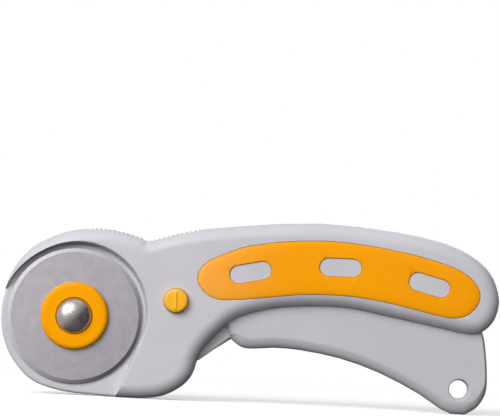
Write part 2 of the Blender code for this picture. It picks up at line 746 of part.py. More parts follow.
def make_lock(bench, axis, finish):
    """The cross-bolt: a front button with a thick and a thin stretch, and a rear button on its end."""
    face = HALF + LOCK_PROUD - LOCK_RIB
    flange = CAVITY - GAP
    bolt_end = LINK + LOCK_CLEARANCE
    rear_flange = -(LINK + LOCK_CLEARANCE)
    rear_face = -(HALF - GAP)
    radius, wide = LOCK_BUTTON_RADIUS, LOCK_BUTTON_RADIUS + LOCK_FLANGE
    edge = 0.6 * MM
    front_profile = [
        (0.0, face),
        (radius - edge, face),
        (radius, face - edge),
        (radius, flange),
        (wide, flange),
        (wide, flange - LOCK_FLANGE_THICKNESS),
        (LOCK_BOLT_RADIUS, flange - LOCK_FLANGE_THICKNESS),
        (LOCK_BOLT_RADIUS, bolt_end),
        (LOCK_NECK_RADIUS, bolt_end),
        (LOCK_NECK_RADIUS, rear_flange - LOCK_JOINT),
        (0.0, rear_flange - LOCK_JOINT),
    ]
    button = bench.part(turned("lock_button", LOCK, front_profile, 28), finish, axis)
    bench.join(button, block("lock_button_rib", LOCK, face - edge, face + LOCK_RIB, 0.9 * MM, 1.3 * radius))
    socket = LOCK_NECK_RADIUS + GAP
    rear_profile = [
        (0.0, rear_flange - LOCK_JOINT - GAP),
        (socket, rear_flange - LOCK_JOINT - GAP),
        (socket, rear_flange),
        (wide, rear_flange),
        (wide, rear_flange - LOCK_FLANGE_THICKNESS),
        (radius, rear_flange - LOCK_FLANGE_THICKNESS),
        (radius, rear_face + edge),
        (radius - edge, rear_face),
        (0.0, rear_face),
    ]
    bench.part(turned("lock_rear_button", LOCK, rear_profile, 28), finish, axis)


def make_blade(bench, axis, finish):
    """A round blade ground to an edge on both sides, with a three-lobed hole."""
    bottom, top, middle = BLADE_SEAT, BLADE_SEAT + BLADE_THICKNESS, BLADE_SEAT + BLADE_THICKNESS / 2
    radius, edge = BLADE_DIAMETER / 2, BLADE_THICKNESS / 10
    profile = [
        (0.0, top),
        (radius - BLADE_BEVEL, top),
        (radius, middle + edge),
        (radius, middle - edge),
        (radius - BLADE_BEVEL, bottom),
        (0.0, bottom),
    ]
    blade = bench.part(turned("cutting_blade", BLADE_AXIS, profile, 64), finish, axis)
    hole = bench.tool(disc("blade_hole", BLADE_AXIS, bottom - GAP, top + GAP, BLADE_HOLE_RADIUS, 36), axis)
    for number in range(3):
        centre = polar(BLADE_AXIS, BLADE_LOBE_REACH - BLADE_LOBE_RADIUS, math.tau * (number / 3 + 1 / 4))
        bench.join(hole, disc(f"blade_hole_lobe_{number + 1}", centre, bottom - GAP, top + GAP, BLADE_LOBE_RADIUS, 20))
    bench.cut(blade, hole)


def make_blade_ring(bench, axis, finish):
    """The holder on the blade's outer side: its hub centres the blade, and the bolt's head sits in its face."""
    bore, hub, seat = AXLE_RADIUS + RUNNING_GAP, BLADE_HOLE_RADIUS - GAP, AXLE_HEAD_RADIUS + GAP
    shoulder = (RING_RADIUS - RING_ROUNDING, RING_FACE - RING_ROUNDING)
    profile = [(seat, RING_FACE), *reversed(arc(shoulder, RING_ROUNDING, 0.0, math.pi / 2, math.radians(30)))]
    profile += [(RING_RADIUS, RING_BASE), (hub, RING_BASE), (hub, BLADE_SEAT), (bore, BLADE_SEAT)]
    profile += [(bore, SEAT_FLOOR), (seat, SEAT_FLOOR)]
    bench.part(turned("blade_ring", BLADE_AXIS, profile, 32), finish, axis)


def make_axle_bolt(bench, axis, finish):
    """The bolt that the blade turns on, with a domed head."""
    seat = SEAT_FLOOR + GAP
    rim = seat + AXLE_HEAD_HEIGHT / 4
    rise = seat + AXLE_HEAD_HEIGHT - rim
    end = KNOB_FACE + SLIDING_GAP
    dome = [(AXLE_HEAD_RADIUS * math.sin(a), rim + rise * math.cos(a)) for a in (math.pi / 2 * i / 6 for i in range(7))]
    dome[0] = (0.0, rim + rise)
    profile = dome + [(AXLE_HEAD_RADIUS, seat), (AXLE_RADIUS, seat), (AXLE_RADIUS, end + GAP)]
    profile += [(AXLE_RADIUS - GAP, end), (0.0, end)]
    bench.part(turned("axle_bolt", BLADE_AXIS, profile, 32), finish, axis)


def ring_profile(inner, outer, top, bottom):
    return [(inner, top), (outer, top), (outer, bottom), (inner, bottom)]


def make_washers(bench, axis, finish):
    """A flat thrust washer behind the lever's eye, and a waved spring washer behind that."""
    bore = AXLE_RADIUS + GAP
    top = -(EYE_BOSS_HEIGHT + GAP)
    flat = ring_profile(bore, WASHER_RADIUS, top, top - WASHER_THICKNESS)
    bench.part(turned("thrust_washer", BLADE_AXIS, flat, 28), finish, axis)
    crest = top - WASHER_THICKNESS - GAP - WAVE_HEIGHT
    wave = turned("wave_washer", BLADE_AXIS, ring_profile(bore, WASHER_RADIUS - GAP, crest, crest - WAVE_THICKNESS), 36)
    for vertex in wave.vertices:
        vertex.co.z += WAVE_HEIGHT * math.cos(3 * math.atan2(vertex.co.y, vertex.co.x))
    bench.part(wave, finish, axis)
    return crest - WAVE_THICKNESS - WAVE_HEIGHT - GAP


def make_nut(bench, axis, plastic, brass, top):
    """A scalloped knob with a threaded insert pressed into it."""
    count = KNOB_SCALLOPS * 4
    step = math.tau / count
    depth = KNOB_SCALLOP / 2
    rim = [KNOB_RADIUS - depth + depth * math.cos(KNOB_SCALLOPS * i * step) for i in range(count)]
    outline = [polar(BLADE_AXIS, radius, i * step) for i, radius in enumerate(rim)]
    knob = bench.part(plate("nut_knob", outline, KNOB_FACE, top, KNOB_ROUNDING, steps=1), plastic, axis)
    shoulder = KNOB_FACE + 1.3 * MM
    bench.cut(
        knob,
        disc("nut_knob_socket", BLADE_AXIS, shoulder, top + GAP, INSERT_RADIUS + GAP, 36),
        disc("nut_knob_hole", BLADE_AXIS, KNOB_FACE - GAP, top, AXLE_RADIUS + 2 * GAP, 32),
    )
    insert = ring_profile(AXLE_RADIUS + RUNNING_GAP, INSERT_RADIUS, top, shoulder + GAP)
    bench.part(turned("nut_insert", BLADE_AXIS, insert, 36), brass, axis)


def stand(bench):
    """Stands the cutter upright on its base line, with the bottom centre of its box at the origin."""
    tilt = math.atan2(-BASE_LINE.y, BASE_LINE.x)
    bench.root.rotation_euler = (math.pi / 2, -tilt, 0.0)
    bpy.context.view_layer.update()
    graph = bpy.context.evaluated_depsgraph_get()
    corners = []
    for part in (obj for obj in bench.parts.objects if obj.type == "MESH"):
        shape = part.evaluated_get(graph).to_mesh()
        corners += [part.matrix_world @ vertex.co for vertex in shape.vertices]
    low = Vector(min(corner[i] for corner in corners) for i in range(3))
    high = Vector(max(corner[i] for corner in corners) for i in range(3))
    bench.root.location = (-(low.x + high.x) / 2, -(low.y + high.y) / 2, -low.z)


def main():
    for obj in list(bpy.data.objects):
        bpy.data.objects.remove(obj)
    body_plastic = material("body_plastic", (0.58, 0.58, 0.60), 0.42)
    trigger_plastic = material("trigger_plastic", (0.50, 0.50, 0.52), 0.45)
    grip_rubber = material("grip_rubber", (0.98, 0.37, 0.01), 0.55)
    orange_plastic = material("orange_plastic", (0.98, 0.37, 0.01), 0.30)
    blade_steel = material("blade_steel", (0.62, 0.61, 0.63), 0.28, 1.0)
    bolt_steel = material("bolt_steel", (0.60, 0.60, 0.60), 0.35, 1.0)
    spring_steel = material("spring_steel", (0.45, 0.45, 0.46), 0.30, 1.0)
    insert_brass = material("insert_brass", (0.71, 0.52, 0.25), 0.35, 1.0)

    bench = Bench()
    lever_axis = bench.axis("lever_axis", bench.root, PIVOT)
    lock_axis = bench.axis("lock_axis", bench.root, LOCK)
    blade_axis = bench.axis("blade_axis", lever_axis, BLADE_AXIS)
    washer_axis = bench.axis("washer_axis", lever_axis, BLADE_AXIS)
    nut_axis = bench.axis("nut_axis", washer_axis, BLADE_AXIS)

    make_front_housing(bench, body_plastic)
    make_rear_housing(bench, body_plastic)
    make_inlay(bench, "front_grip_inlay", 1, grip_rubber)
    make_inlay(bench, "rear_grip_inlay", -1, grip_rubber)
    for number, place in enumerate(SCREWS, 1):
        make_housing_screw(bench, number, place, bolt_steel)
    make_pivot_pin(bench, bolt_steel)
    make_return_spring(bench, spring_steel)
    make_lever(bench, lever_axis, trigger_plastic)
    make_lock(bench, lock_axis, orange_plastic)
    make_axle_bolt(bench, lever_axis, bolt_steel)
    make_blade(bench, blade_axis, blade_steel)
    make_blade_ring(bench, blade_axis, orange_plastic)
    nut_top = make_washers(bench, washer_axis, spring_steel)
    make_nut(bench, nut_axis, orange_plastic, insert_brass, nut_top)
    stand(bench)


main()
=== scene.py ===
"""Rotary cutter: the pieces that show, their finishes, the studio and the camera.

Every shape is drawn in the design frame, with the cutter lying on its side: the blade's axis is the origin,
X runs to the tail, Y runs up the handle and Z points out of the front face. The Workshop class carries a
finished mesh from there to its place on the cutter's body.
"""

import functools
import json
import logging
import math
from collections.abc import Callable, Iterable, Sequence
from dataclasses import dataclass, field
from enum import Enum
from typing import Any

import bmesh
import bpy
from mathutils import Matrix, Vector
from mathutils.geometry import interpolate_bezier


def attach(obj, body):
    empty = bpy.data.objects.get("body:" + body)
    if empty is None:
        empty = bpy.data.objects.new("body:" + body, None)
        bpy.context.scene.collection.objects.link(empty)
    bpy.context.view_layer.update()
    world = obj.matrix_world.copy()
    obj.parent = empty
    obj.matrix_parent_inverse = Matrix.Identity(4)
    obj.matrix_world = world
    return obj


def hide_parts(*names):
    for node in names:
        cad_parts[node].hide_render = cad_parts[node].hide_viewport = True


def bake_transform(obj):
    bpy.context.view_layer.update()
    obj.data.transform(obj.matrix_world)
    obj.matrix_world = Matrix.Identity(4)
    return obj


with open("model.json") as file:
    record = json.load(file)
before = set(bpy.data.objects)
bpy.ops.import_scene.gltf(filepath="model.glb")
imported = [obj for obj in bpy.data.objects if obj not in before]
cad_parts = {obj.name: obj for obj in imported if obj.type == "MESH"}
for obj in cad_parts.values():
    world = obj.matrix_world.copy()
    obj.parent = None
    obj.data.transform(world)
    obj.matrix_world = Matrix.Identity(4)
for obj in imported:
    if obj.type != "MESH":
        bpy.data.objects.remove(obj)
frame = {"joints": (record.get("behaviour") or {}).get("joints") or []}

log = logging.getLogger("rotary_cutter")

MM = 0.001
SHARP = True

Point = tuple[float, float]
Profile = list[tuple[float, float]]


class Body(Enum):
    """The bodies that pieces ride on."""

    HOUSING = "housing"
    LEVER = "lever"
    BLADE = "blade"
    WASHERS = "washers"
    NUT = "nut"
    LOCK = "lock"


class Slot(Enum):
    """Names of the material slots that pieces are placed with."""

    BODY = "body_plastic"
    TRIGGER = "trigger_plastic"
    RUBBER = "grip_rubber"
    ORANGE = "orange_plastic"
    BLADE = "blade_steel"
    BOLT = "bolt_steel"
    SPRING = "spring_steel"
    BRASS = "insert_brass"


# --------------------------------------------------------------------------------------------------
# Outlines
# --------------------------------------------------------------------------------------------------


def knot(x: float, y: float, *kind: bool) -> tuple:
    """A point of an outline, given in millimetres, marked SHARP where the outline has a corner."""
    return (x * MM, y * MM, *kind)


def polar(centre: Sequence[float], radius: float, angle: float) -> Point:
    """The point at an angle and a distance from a centre."""
    return (centre[0] + radius * math.cos(angle), centre[1] + radius * math.sin(angle))


def arc(centre: Sequence[float], radius: float, start: float, end: float, step: float = 5.0) -> list[Point]:
    """Points round a centre from one angle to another in radians, with chords of at most step degrees."""
    count = max(1, math.ceil(abs(end - start) / math.radians(step) - 1e-6))
    return [polar(centre, radius, start + (end - start) * i / count) for i in range(count + 1)]


def smooth(knots: Sequence[tuple], step: float = 4.0) -> list[Point]:
    """A closed outline on curves through its knots, with corners at those marked sharp.

    Args:
        knots: The points that the outline passes through, in order.
        step: About how far one chord turns, in degrees.

    Returns:
        The outline's points.
    """
    points = [Vector(k[:2]) for k in knots]
    count = len(points)
    outline: list[Point] = []
    for i, here in enumerate(knots):
        start, end = points[i], points[(i + 1) % count]
        leave = end - start if len(here) > 2 else end - points[i - 1]
        arrive = end - start if len(knots[(i + 1) % count]) > 2 else points[(i + 2) % count] - start
        pull = (end - start).length / 3
        turn = leave.angle(arrive) + leave.angle(end - start) + arrive.angle(end - start)
        pieces = max(1, round(turn / 2 / math.radians(step)))
        handles = (start + leave.normalized() * pull, end - arrive.normalized() * pull)
        outline += [tuple(p) for p in interpolate_bezier(start, *handles, end, pieces + 1)[:-1]]
    return outline


def offset(outline: Sequence[Point], distance: float | Sequence[float]) -> list[Point]:
    """An outline moved outwards, or inwards where the distance is negative.

    Args:
        outline: The closed outline.
        distance: One distance, or one for each point.

    Returns:
        The moved outline, point for point.
    """
    points = [Vector(p) for p in outline]
    side = math.copysign(1.0, sum(a.cross(b) for a, b in zip(points, points[1:] + points[:1])))
    distances = distance if isinstance(distance, Sequence) else [distance] * len(points)
    moved: list[Point] = []
    for before, point, after, step in zip(points[-1:] + points[:-1], points, points[1:] + points[:1],
                                          distances):
        first, second = (point - before).normalized(), (after - point).normalized()
        normal = Vector((first.y + second.y, -first.x - second.x)) * side
        moved.append(tuple(point + normal * step / (1 + first.dot(second))))
    return moved


def unfolded(outline: Sequence[Point], moved: Sequence[Point]) -> list[Point]:
    """A moved outline whose folds are drawn together, where it moved in further than it curves.

    Args:
        outline: The outline before it was moved.
        moved: The moved outline, point for point.

    Returns:
        The moved outline with no stretch that runs backwards.
    """
    points, count = [Vector(p) for p in moved], len(moved)
    ahead = [Vector(b) - Vector(a) for a, b in zip(outline, [*outline[1:], outline[0]])]
    for spread in range(1, 16):
        folded = [i for i in range(count) if (points[(i + 1) % count] - points[i]).dot(ahead[i]) < -1e-12]
        for i in folded:
            run = [k % count for k in range(i - spread + 1, i + spread + 1)]
            middle = sum((points[k] for k in run), Vector((0.0, 0.0))) / len(run)
            for k in run:
                points[k] = middle
        if not folded:
            break
    return [tuple(p) for p in points]


def refined(outline: Sequence[Point], spacing: float, inside: Callable[[Point], bool]) -> list[Point]:
    """An outline with more points where the test holds.

    Args:
        outline: The closed outline.
        spacing: The most that two points lie apart there.
        inside: Says whether a point lies in the stretch to refine.

    Returns:
        The outline with the points added.
    """
    made: list[Point] = []
    for start, end in zip(outline, [*outline[1:], outline[0]]):
        made.append(start)
        if inside(start) or inside(end):
            line = Vector(end) - Vector(start)
            count = math.ceil(line.length / spacing)
            made += [tuple(Vector(start) + line * i / count) for i in range(1, count)]
    return made


def belt(first: Sequence[float], first_radius: float, second: Sequence[float],
         second_radius: float) -> list[Point]:
    """Two circles and the straight lines that touch both.

    Args:
        first: The first circle's centre.
        first_radius: Its radius.
        second: The second circle's centre.
        second_radius: Its radius.

    Returns:
        The closed outline round both.
    """
    line = Vector(second) - Vector(first)
    heading = math.atan2(line.y, line.x)
    lean = math.acos((first_radius - second_radius) / line.length)
    around = arc(first, first_radius, heading + lean, heading + math.tau - lean)
    return around + arc(second, second_radius, heading - lean, heading + lean)


def obround(centre: Sequence[float], length: float, width: float, degrees: float) -> list[Point]:
    """A slot shape with round ends, tilted by an angle.

    Args:
        centre: The middle of the slot shape.
        length: Its length over the round ends.
        width: Its width.
        degrees: How far it is tilted.

    Returns:
        The closed outline.
    """
    reach = Vector(((length - width) / 2, 0.0))
    reach.rotate(Matrix.Rotation(math.radians(degrees), 2))
    middle = Vector(centre[:2])
    return belt(middle - reach, width / 2, middle + reach, width / 2)


def arc_slot(centre: Sequence[float], radius: float, start: float, end: float,
             half_width: float) -> list[Point]:
    """A slot bent round a centre, with round ends at two angles.

    Args:
        centre: The centre that the slot bends round.
        radius: The radius of its middle line.
        start: The angle of its first end, in radians.
        end: The angle of its last end, in radians.
        half_width: Half its width.

    Returns:
        The closed outline.
    """
    ahead = arc(polar(centre, radius, end), half_width, end, end + math.pi)
    back = arc(polar(centre, radius, start), half_width, start + math.pi, start + math.tau)
    outer = arc(centre, radius + half_width, start, end)
    inner = arc(centre, radius - half_width, end, start)
    return outer + ahead[1:-1] + inner + back[1:-1]


def rounding(radius: float, top: float, steps: int = 6) -> Profile:
    """Pairs of inset and height, from the side wall up, of a quarter round that ends at the top height."""
    angles = [math.pi / 2 * i / steps for i in range(steps + 1)]
    return [(radius * (1 - math.cos(a)), top - radius + radius * math.sin(a)) for a in angles]


def both_sides(rings: Profile) -> Profile:
    """The rings of a plate that is the same on both faces, from those of its upper half."""
    return [(inset, -height) for inset, height in reversed(rings)] + list(rings)


# --------------------------------------------------------------------------------------------------
# Meshes
# --------------------------------------------------------------------------------------------------


def mesh_from(name: str, shape: bmesh.types.BMesh) -> bpy.types.Mesh:
    """A mesh with its faces turned outwards, made from a bmesh that is then freed.

    Args:
        name: The mesh's name.
        shape: The bmesh, which is freed.

    Returns:
        The mesh.
    """
    bmesh.ops.recalc_face_normals(shape, faces=shape.faces)
    made = bpy.data.meshes.new(name)
    shape.to_mesh(made)
    shape.free()
    return made


def lofted(name: str, outline: Sequence[Point], rings: Sequence[tuple]) -> bpy.types.Mesh:
    """A plate whose edge follows a stack of rings.

    Args:
        name: The mesh's name.
        outline: The plate's outline.
        rings: Pairs of inset and height, from the bottom up. An inset is one number or one for each point.

    Returns:
        The closed mesh.
    """
    shape = bmesh.new()
    loops = []
    for inset, height in rings:
        distance = [-i for i in inset] if isinstance(inset, Sequence) else -inset
        ring = unfolded(outline, offset(outline, distance))
        loops.append([shape.verts.new((*p, height)) for p in ring])
    count = len(outline)
    for lower, upper in zip(loops, loops[1:]):
        for i in range(count):
            j = (i + 1) % count
            shape.faces.new((lower[i], lower[j], upper[j], upper[i]))
    shape.faces.new(loops[0])
    shape.faces.new(loops[-1])
    return mesh_from(name, shape)


def slab(name: str, outline: Sequence[Point], bottom: float, top: float) -> bpy.types.Mesh:
    """A plate with square edges between two heights."""
    return lofted(name, outline, [(0.0, bottom), (0.0, top)])


def turned(name: str, centre: Sequence[float], profile: Profile, steps: int = 96) -> bpy.types.Mesh:
    """A round piece.

    Args:
        name: The mesh's name.
        centre: Where its axis crosses the design plane.
        profile: Pairs of radius and height. One that starts off the axis is closed into a ring.
        steps: How many facets it has round the axis.

    Returns:
        The closed mesh.
    """
    shape = bmesh.new()
    loops = []
    for radius, height in profile:
        count = steps if radius > 0 else 1
        ring = [polar(centre, radius, math.tau * i / steps) for i in range(count)]
        loops.append([shape.verts.new((*p, height)) for p in ring])
    pairs = list(zip(loops, loops[1:]))
    if profile[0][0] > 0:
        pairs.append((loops[-1], loops[0]))
    for first, second in pairs:
        for i in range(steps):
            j = (i + 1) % steps
            corners = [first[i % len(first)], first[j % len(first)], second[j % len(second)],
                       second[i % len(second)]]
            shape.faces.new(dict.fromkeys(corners))
    return mesh_from(name, shape)


def disc(name: str, centre: Sequence[float], bottom: float, top: float, radius: float) -> bpy.types.Mesh:
    """A plain cylinder between two heights, used as a cutter or a boss."""
    return turned(name, centre, [(0.0, top), (radius, top), (radius, bottom), (0.0, bottom)], 64)


def tidied(mesh: bpy.types.Mesh) -> bpy.types.Mesh:
    """A mesh with stray short edges closed and every face of more than four corners cut into well-shaped
    triangles.

    Args:
        mesh: The mesh, which is changed.

    Returns:
        The same mesh.
    """
    shape = bmesh.new()
    shape.from_mesh(mesh)
    bmesh.ops.dissolve_degenerate(shape, dist=0.002 * MM, edges=shape.edges)
    bmesh.ops.triangulate(shape, faces=[face for face in shape.faces if len(face.verts) > 4])
    shape.to_mesh(mesh)
    shape.free()
    return mesh


def combined(name: str, meshes: Iterable[bpy.types.Mesh]) -> bpy.types.Mesh:
    """One mesh that holds several shapes which don't touch each other.

    Args:
        name: The mesh's name.
        meshes: The shapes to hold.

    Returns:
        The mesh.
    """
    shape = bmesh.new()
    for mesh in meshes:
        shape.from_mesh(mesh)
    made = bpy.data.meshes.new(name)
    shape.to_mesh(made)
    shape.free()
    return made


def rounded_profile(corners: Sequence[tuple[float, float, float]], steps: int = 4) -> Profile:
    """A turned profile whose corners are rounded.

    Args:
        corners: Triples of radius, height and the corner's own rounding.
        steps: How many chords a rounded corner has.

    Returns:
        The profile's points.
    """
    made: Profile = []
    for i, (radius, height, edge) in enumerate(corners):
        here = Vector((radius, height))
        if edge <= 0:
            made.append((radius, height))
            continue
        before = (Vector(corners[i - 1][:2]) - here).normalized() * edge
        after = (Vector(corners[(i + 1) % len(corners)][:2]) - here).normalized() * edge
        for k in range(steps + 1):
            t = k / steps
            place = here + before * (1 - t) ** 2 + after * t**2
            made.append((place.x, place.y))
    return made


class Blank:
    """A solid that is cut and joined until it is a finished piece."""

    def __init__(self, mesh: bpy.types.Mesh) -> None:
        """Sets a mesh up as the blank."""
        self.holder = self._hold(mesh)
        self.tools: list[bpy.types.Object] = []

    @staticmethod
    def _hold(mesh: bpy.types.Mesh) -> bpy.types.Object:
        """An object for a mesh, linked so that modifiers can read it.

        Args:
            mesh: The mesh to hold.

        Returns:
            The object.
        """
        holder = bpy.data.objects.new(mesh.name, mesh)
        bpy.context.scene.collection.objects.link(holder)
        return holder

    def _change(self, operation: str, meshes: Iterable[bpy.types.Mesh]) -> "Blank":
        """Adds one Boolean for each mesh.

        Args:
            operation: The kind of Boolean.
            meshes: What it is done with.

        Returns:
            The blank itself.
        """
        for mesh in meshes:
            tool = self._hold(mesh)
            self.tools.append(tool)
            boolean = self.holder.modifiers.new(mesh.name, "BOOLEAN")
            boolean.operation = operation
            boolean.solver = "MANIFOLD"
            boolean.object = tool
        return self

    def cut(self, *meshes: bpy.types.Mesh) -> "Blank":
        """Cuts the meshes away."""
        return self._change("DIFFERENCE", meshes)

    def join(self, *meshes: bpy.types.Mesh) -> "Blank":
        """Joins the meshes on."""
        return self._change("UNION", meshes)

    def keep(self, *meshes: bpy.types.Mesh) -> "Blank":
        """Keeps only what lies inside each mesh."""
        return self._change("INTERSECT", meshes)

    def finished(self) -> bpy.types.Mesh:
        """The piece's mesh, once every cut and join has been worked out.

        Returns:
            The finished mesh.
        """
        bpy.context.view_layer.update()
        graph = bpy.context.evaluated_depsgraph_get()
        made = bpy.data.meshes.new_from_object(self.holder.evaluated_get(graph))
        made.name = self.holder.name
        for obj in [self.holder, *self.tools]:
            bpy.data.objects.remove(obj)
        return made


def tube(name: str, points: Sequence[tuple[float, float, float]], thickness: float) -> bpy.types.Mesh:
    """A round wire along a smooth line of points, with its ends closed.

    Args:
        name: The mesh's name.
        points: The line's points.
        thickness: The wire's thickness.

    Returns:
        The closed mesh.
    """
    curve = bpy.data.curves.new(name, "CURVE")
    curve.dimensions = "3D"
    spline = curve.splines.new("POLY")
    spline.points.add(len(points) - 1)
    for point, place in zip(spline.points, points):
        point.co = (*place, 1.0)
    curve.bevel_depth = thickness / 2
    curve.bevel_resolution = 4
    curve.use_fill_caps = True
    carrier = bpy.data.objects.new(name, curve)
    bpy.context.scene.collection.objects.link(carrier)
    bpy.context.view_layer.update()
    made = bpy.data.meshes.new_from_object(carrier.evaluated_get(bpy.context.evaluated_depsgraph_get()))
    bpy.data.objects.remove(carrier)
    made.name = name
    return made


# --------------------------------------------------------------------------------------------------
# The plan that the sub-assemblies share
# --------------------------------------------------------------------------------------------------


@dataclass(frozen=True)
class Plan:
    """Places and heights in the design frame that more than one sub-assembly fits to."""

    half: float = 9.3 * MM
    cavity: float = 6.6 * MM
    guard: float = 4.8 * MM
    parting: float = 0.12 * MM
    gap: float = 0.3 * MM
    trigger: float = 4.5 * MM
    arm: float = 3.0 * MM
    link: float = 1.6 * MM
    squeeze: float = math.radians(11.0)
    pivot: Point = (29.3 * MM, -16.7 * MM)
    lock: Point = (34.0 * MM, 5.0 * MM)
    blade: Point = (0.0, 0.0)
    screws: tuple[Point, ...] = (
        (15.5 * MM, 24.0 * MM),
        (19.6 * MM, -22.8 * MM),
        (56.0 * MM, 25.9 * MM),
        (118.0 * MM, 22.0 * MM),
    )
    axle_radius: float = 3.0 * MM
    pin_radius: float = 2.0 * MM

    @property
    def lock_radius(self) -> float:
        """How far the lock lies from the pivot."""
        return math.dist(self.lock, self.pivot)

    @property
    def lock_angle(self) -> float:
        """The lock's angle as the pivot sees it."""
        return math.atan2(self.lock[1] - self.pivot[1], self.lock[0] - self.pivot[0])

    @property
    def link_radius(self) -> float:
        """How far the blade's axis lies from the pivot."""
        return math.dist(self.blade, self.pivot)

    @property
    def link_angle(self) -> float:
        """The blade axis's angle as the pivot sees it."""
        return math.atan2(self.blade[1] - self.pivot[1], self.blade[0] - self.pivot[0])


PLAN = Plan()


class Workshop:
    """Carries finished meshes from the design frame to their bodies."""

    def __init__(self, joints: Sequence[dict[str, Any]]) -> None:
        """Works out where the design frame lies from two of the frame's joints.

        Args:
            joints: The frame's joints.
        """
        places = {joint["name"]: Vector(joint["pos_m"]) for joint in joints if "pos_m" in joint}
        axis = places["blade_spin"]
        across = places["trigger_squeeze"] - axis
        self.tilt = math.atan2(across.z, across.x) - math.atan2(PLAN.pivot[1], PLAN.pivot[0])
        self.upright = Matrix.Rotation(math.pi / 2, 4, "X")
        self.lean = Matrix.Rotation(self.tilt, 4, "Z")
        self.matrix = Matrix.Translation(axis) @ self.upright @ self.lean

    def point(self, place: Sequence[float], height: float) -> Vector:
        """A point of the design frame, in the cutter's own place."""
        return self.matrix @ Vector((place[0], place[1], height))

    def place(self, mesh: bpy.types.Mesh, axis: Sequence[float], body: Body, slot: Slot,
              *nodes: str) -> bpy.types.Object:
        """Puts a mesh on its body.

        Args:
            mesh: The finished mesh, in the design frame.
            axis: The point of the design plane that becomes the piece's origin.
            body: The body that the piece moves with.
            slot: The piece's material slot, handed on to stand.
            nodes: The nodes that it stands for.

        Returns:
            The piece.
        """
        piece = self.stand(mesh, axis, slot, *nodes)
        weighted = piece.modifiers.new("even_shading", "WEIGHTED_NORMAL")
        weighted.keep_sharp = True
        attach(piece, body.value)
        log.info("%s rides on %s, %d faces", piece.name, body.value, len(mesh.polygons))
        return piece

    def stand(self, mesh: bpy.types.Mesh, axis: Sequence[float], slot: Slot,
              *nodes: str) -> bpy.types.Object:
        """Puts a mesh where it belongs, on no body yet.

        Args:
            mesh: The finished mesh, in the design frame.
            axis: The point of the design plane that becomes the piece's origin.
            slot: Not used.
            nodes: The nodes that it stands for.

        Returns:
            The piece.
        """
        mesh.transform(self.lean @ Matrix.Translation((-axis[0], -axis[1], 0.0)))
        tidied(mesh).shade_smooth()
        mesh.set_sharp_from_angle(angle=math.radians(32))
        piece = bpy.data.objects.new(mesh.name, mesh)
        bpy.context.scene.collection.objects.link(piece)
        piece.matrix_world = Matrix.Translation(self.point(axis, 0.0)) @ self.upright
        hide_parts(*nodes)
        return piece

    def bend(self, piece: bpy.types.Object) -> None:
        """Bakes a piece's place into its mesh and leaves it on no body.

        Args:
            piece: The piece, on no body.
        """
        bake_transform(piece)
        log.info("%s bends from lever to housing, %d faces", piece.name, len(piece.data.polygons))


def mirrored(mesh: bpy.types.Mesh) -> bpy.types.Mesh:
    """The same mesh on the other side of the parting plane.

    Args:
        mesh: The mesh, which is changed.

    Returns:
        The same mesh.
    """
    mesh.transform(Matrix.Diagonal((1.0, 1.0, -1.0, 1.0)))
    mesh.flip_normals()
    return mesh


# --------------------------------------------------------------------------------------------------
# Housing
# --------------------------------------------------------------------------------------------------


HOUSING_KNOTS = (
    knot(-24.7, -1.3), knot(-24.1, 5.3), knot(-21.3, 14.2), knot(-14.7, 22.5), knot(-4.7, 27.5),
    knot(4.3, 29.1), knot(13.0, 28.8), knot(22.0, 26.2), knot(24.3, 24.9, SHARP), knot(28.7, 26.0),
    knot(35.3, 27.7), knot(42.0, 28.8), knot(55.3, 29.9), knot(68.7, 30.7), knot(82.0, 30.8),
    knot(95.3, 29.7), knot(108.7, 27.7), knot(122.0, 24.7), knot(132.0, 20.3), knot(138.7, 14.2),
    knot(141.6, 6.0), knot(140.7, 0.0), knot(138.0, -4.0), knot(134.4, -5.9), knot(128.1, -5.4),
    knot(112.1, -1.7), knot(93.7, 2.4), knot(84.5, 3.3), knot(68.7, 3.0), knot(55.3, 0.0),
    knot(49.7, -3.7), knot(43.7, -9.7), knot(40.9, -14.2), knot(39.0, -19.6), knot(35.3, -23.7),
    knot(28.7, -26.8), knot(21.5, -27.46, SHARP), knot(13.0, -27.03, SHARP), knot(5.3, -26.3),
    knot(-4.7, -25.0), knot(-14.7, -21.2), knot(-21.3, -13.7), knot(-24.0, -6.7),
)

INLAY_KNOTS = (
    knot(41.0, 12.0), knot(43.1, 16.9), knot(48.7, 20.0), knot(58.7, 23.3), knot(75.3, 24.9),
    knot(91.3, 24.3), knot(112.0, 20.5), knot(125.8, 16.2), knot(132.4, 12.1), knot(135.2, 7.0),
    knot(133.6, 2.2), knot(128.6, -0.9), knot(121.2, -0.3), knot(107.5, 3.3), knot(92.0, 6.2),
    knot(75.3, 6.8), knot(62.0, 5.6), knot(49.5, 5.0), knot(43.9, 7.1),
)

TRIGGER_KNOTS = (
    knot(55.6, -10.4), knot(59.6, -11.0), knot(66.5, -10.7), knot(75.3, -11.5), knot(88.7, -14.3),
    knot(102.0, -19.2), knot(115.3, -26.3), knot(122.0, -31.0), knot(125.81, -32.79, SHARP),
    knot(130.2, -33.01, SHARP), knot(134.3, -30.6), knot(137.2, -26.0), knot(137.8, -20.3),
    knot(137.4, -12.0), knot(136.3, -5.4), knot(134.0, -2.3), knot(127.0, -1.9), knot(112.0, 1.6),
    knot(93.7, 5.9), knot(80.0, 6.9), knot(62.0, 5.6),
)


def inlay_outline() -> list[Point]:
    """The outline of the grip inlay, drawn in a little from its knots."""
    return offset(smooth(INLAY_KNOTS), -0.2 * MM)


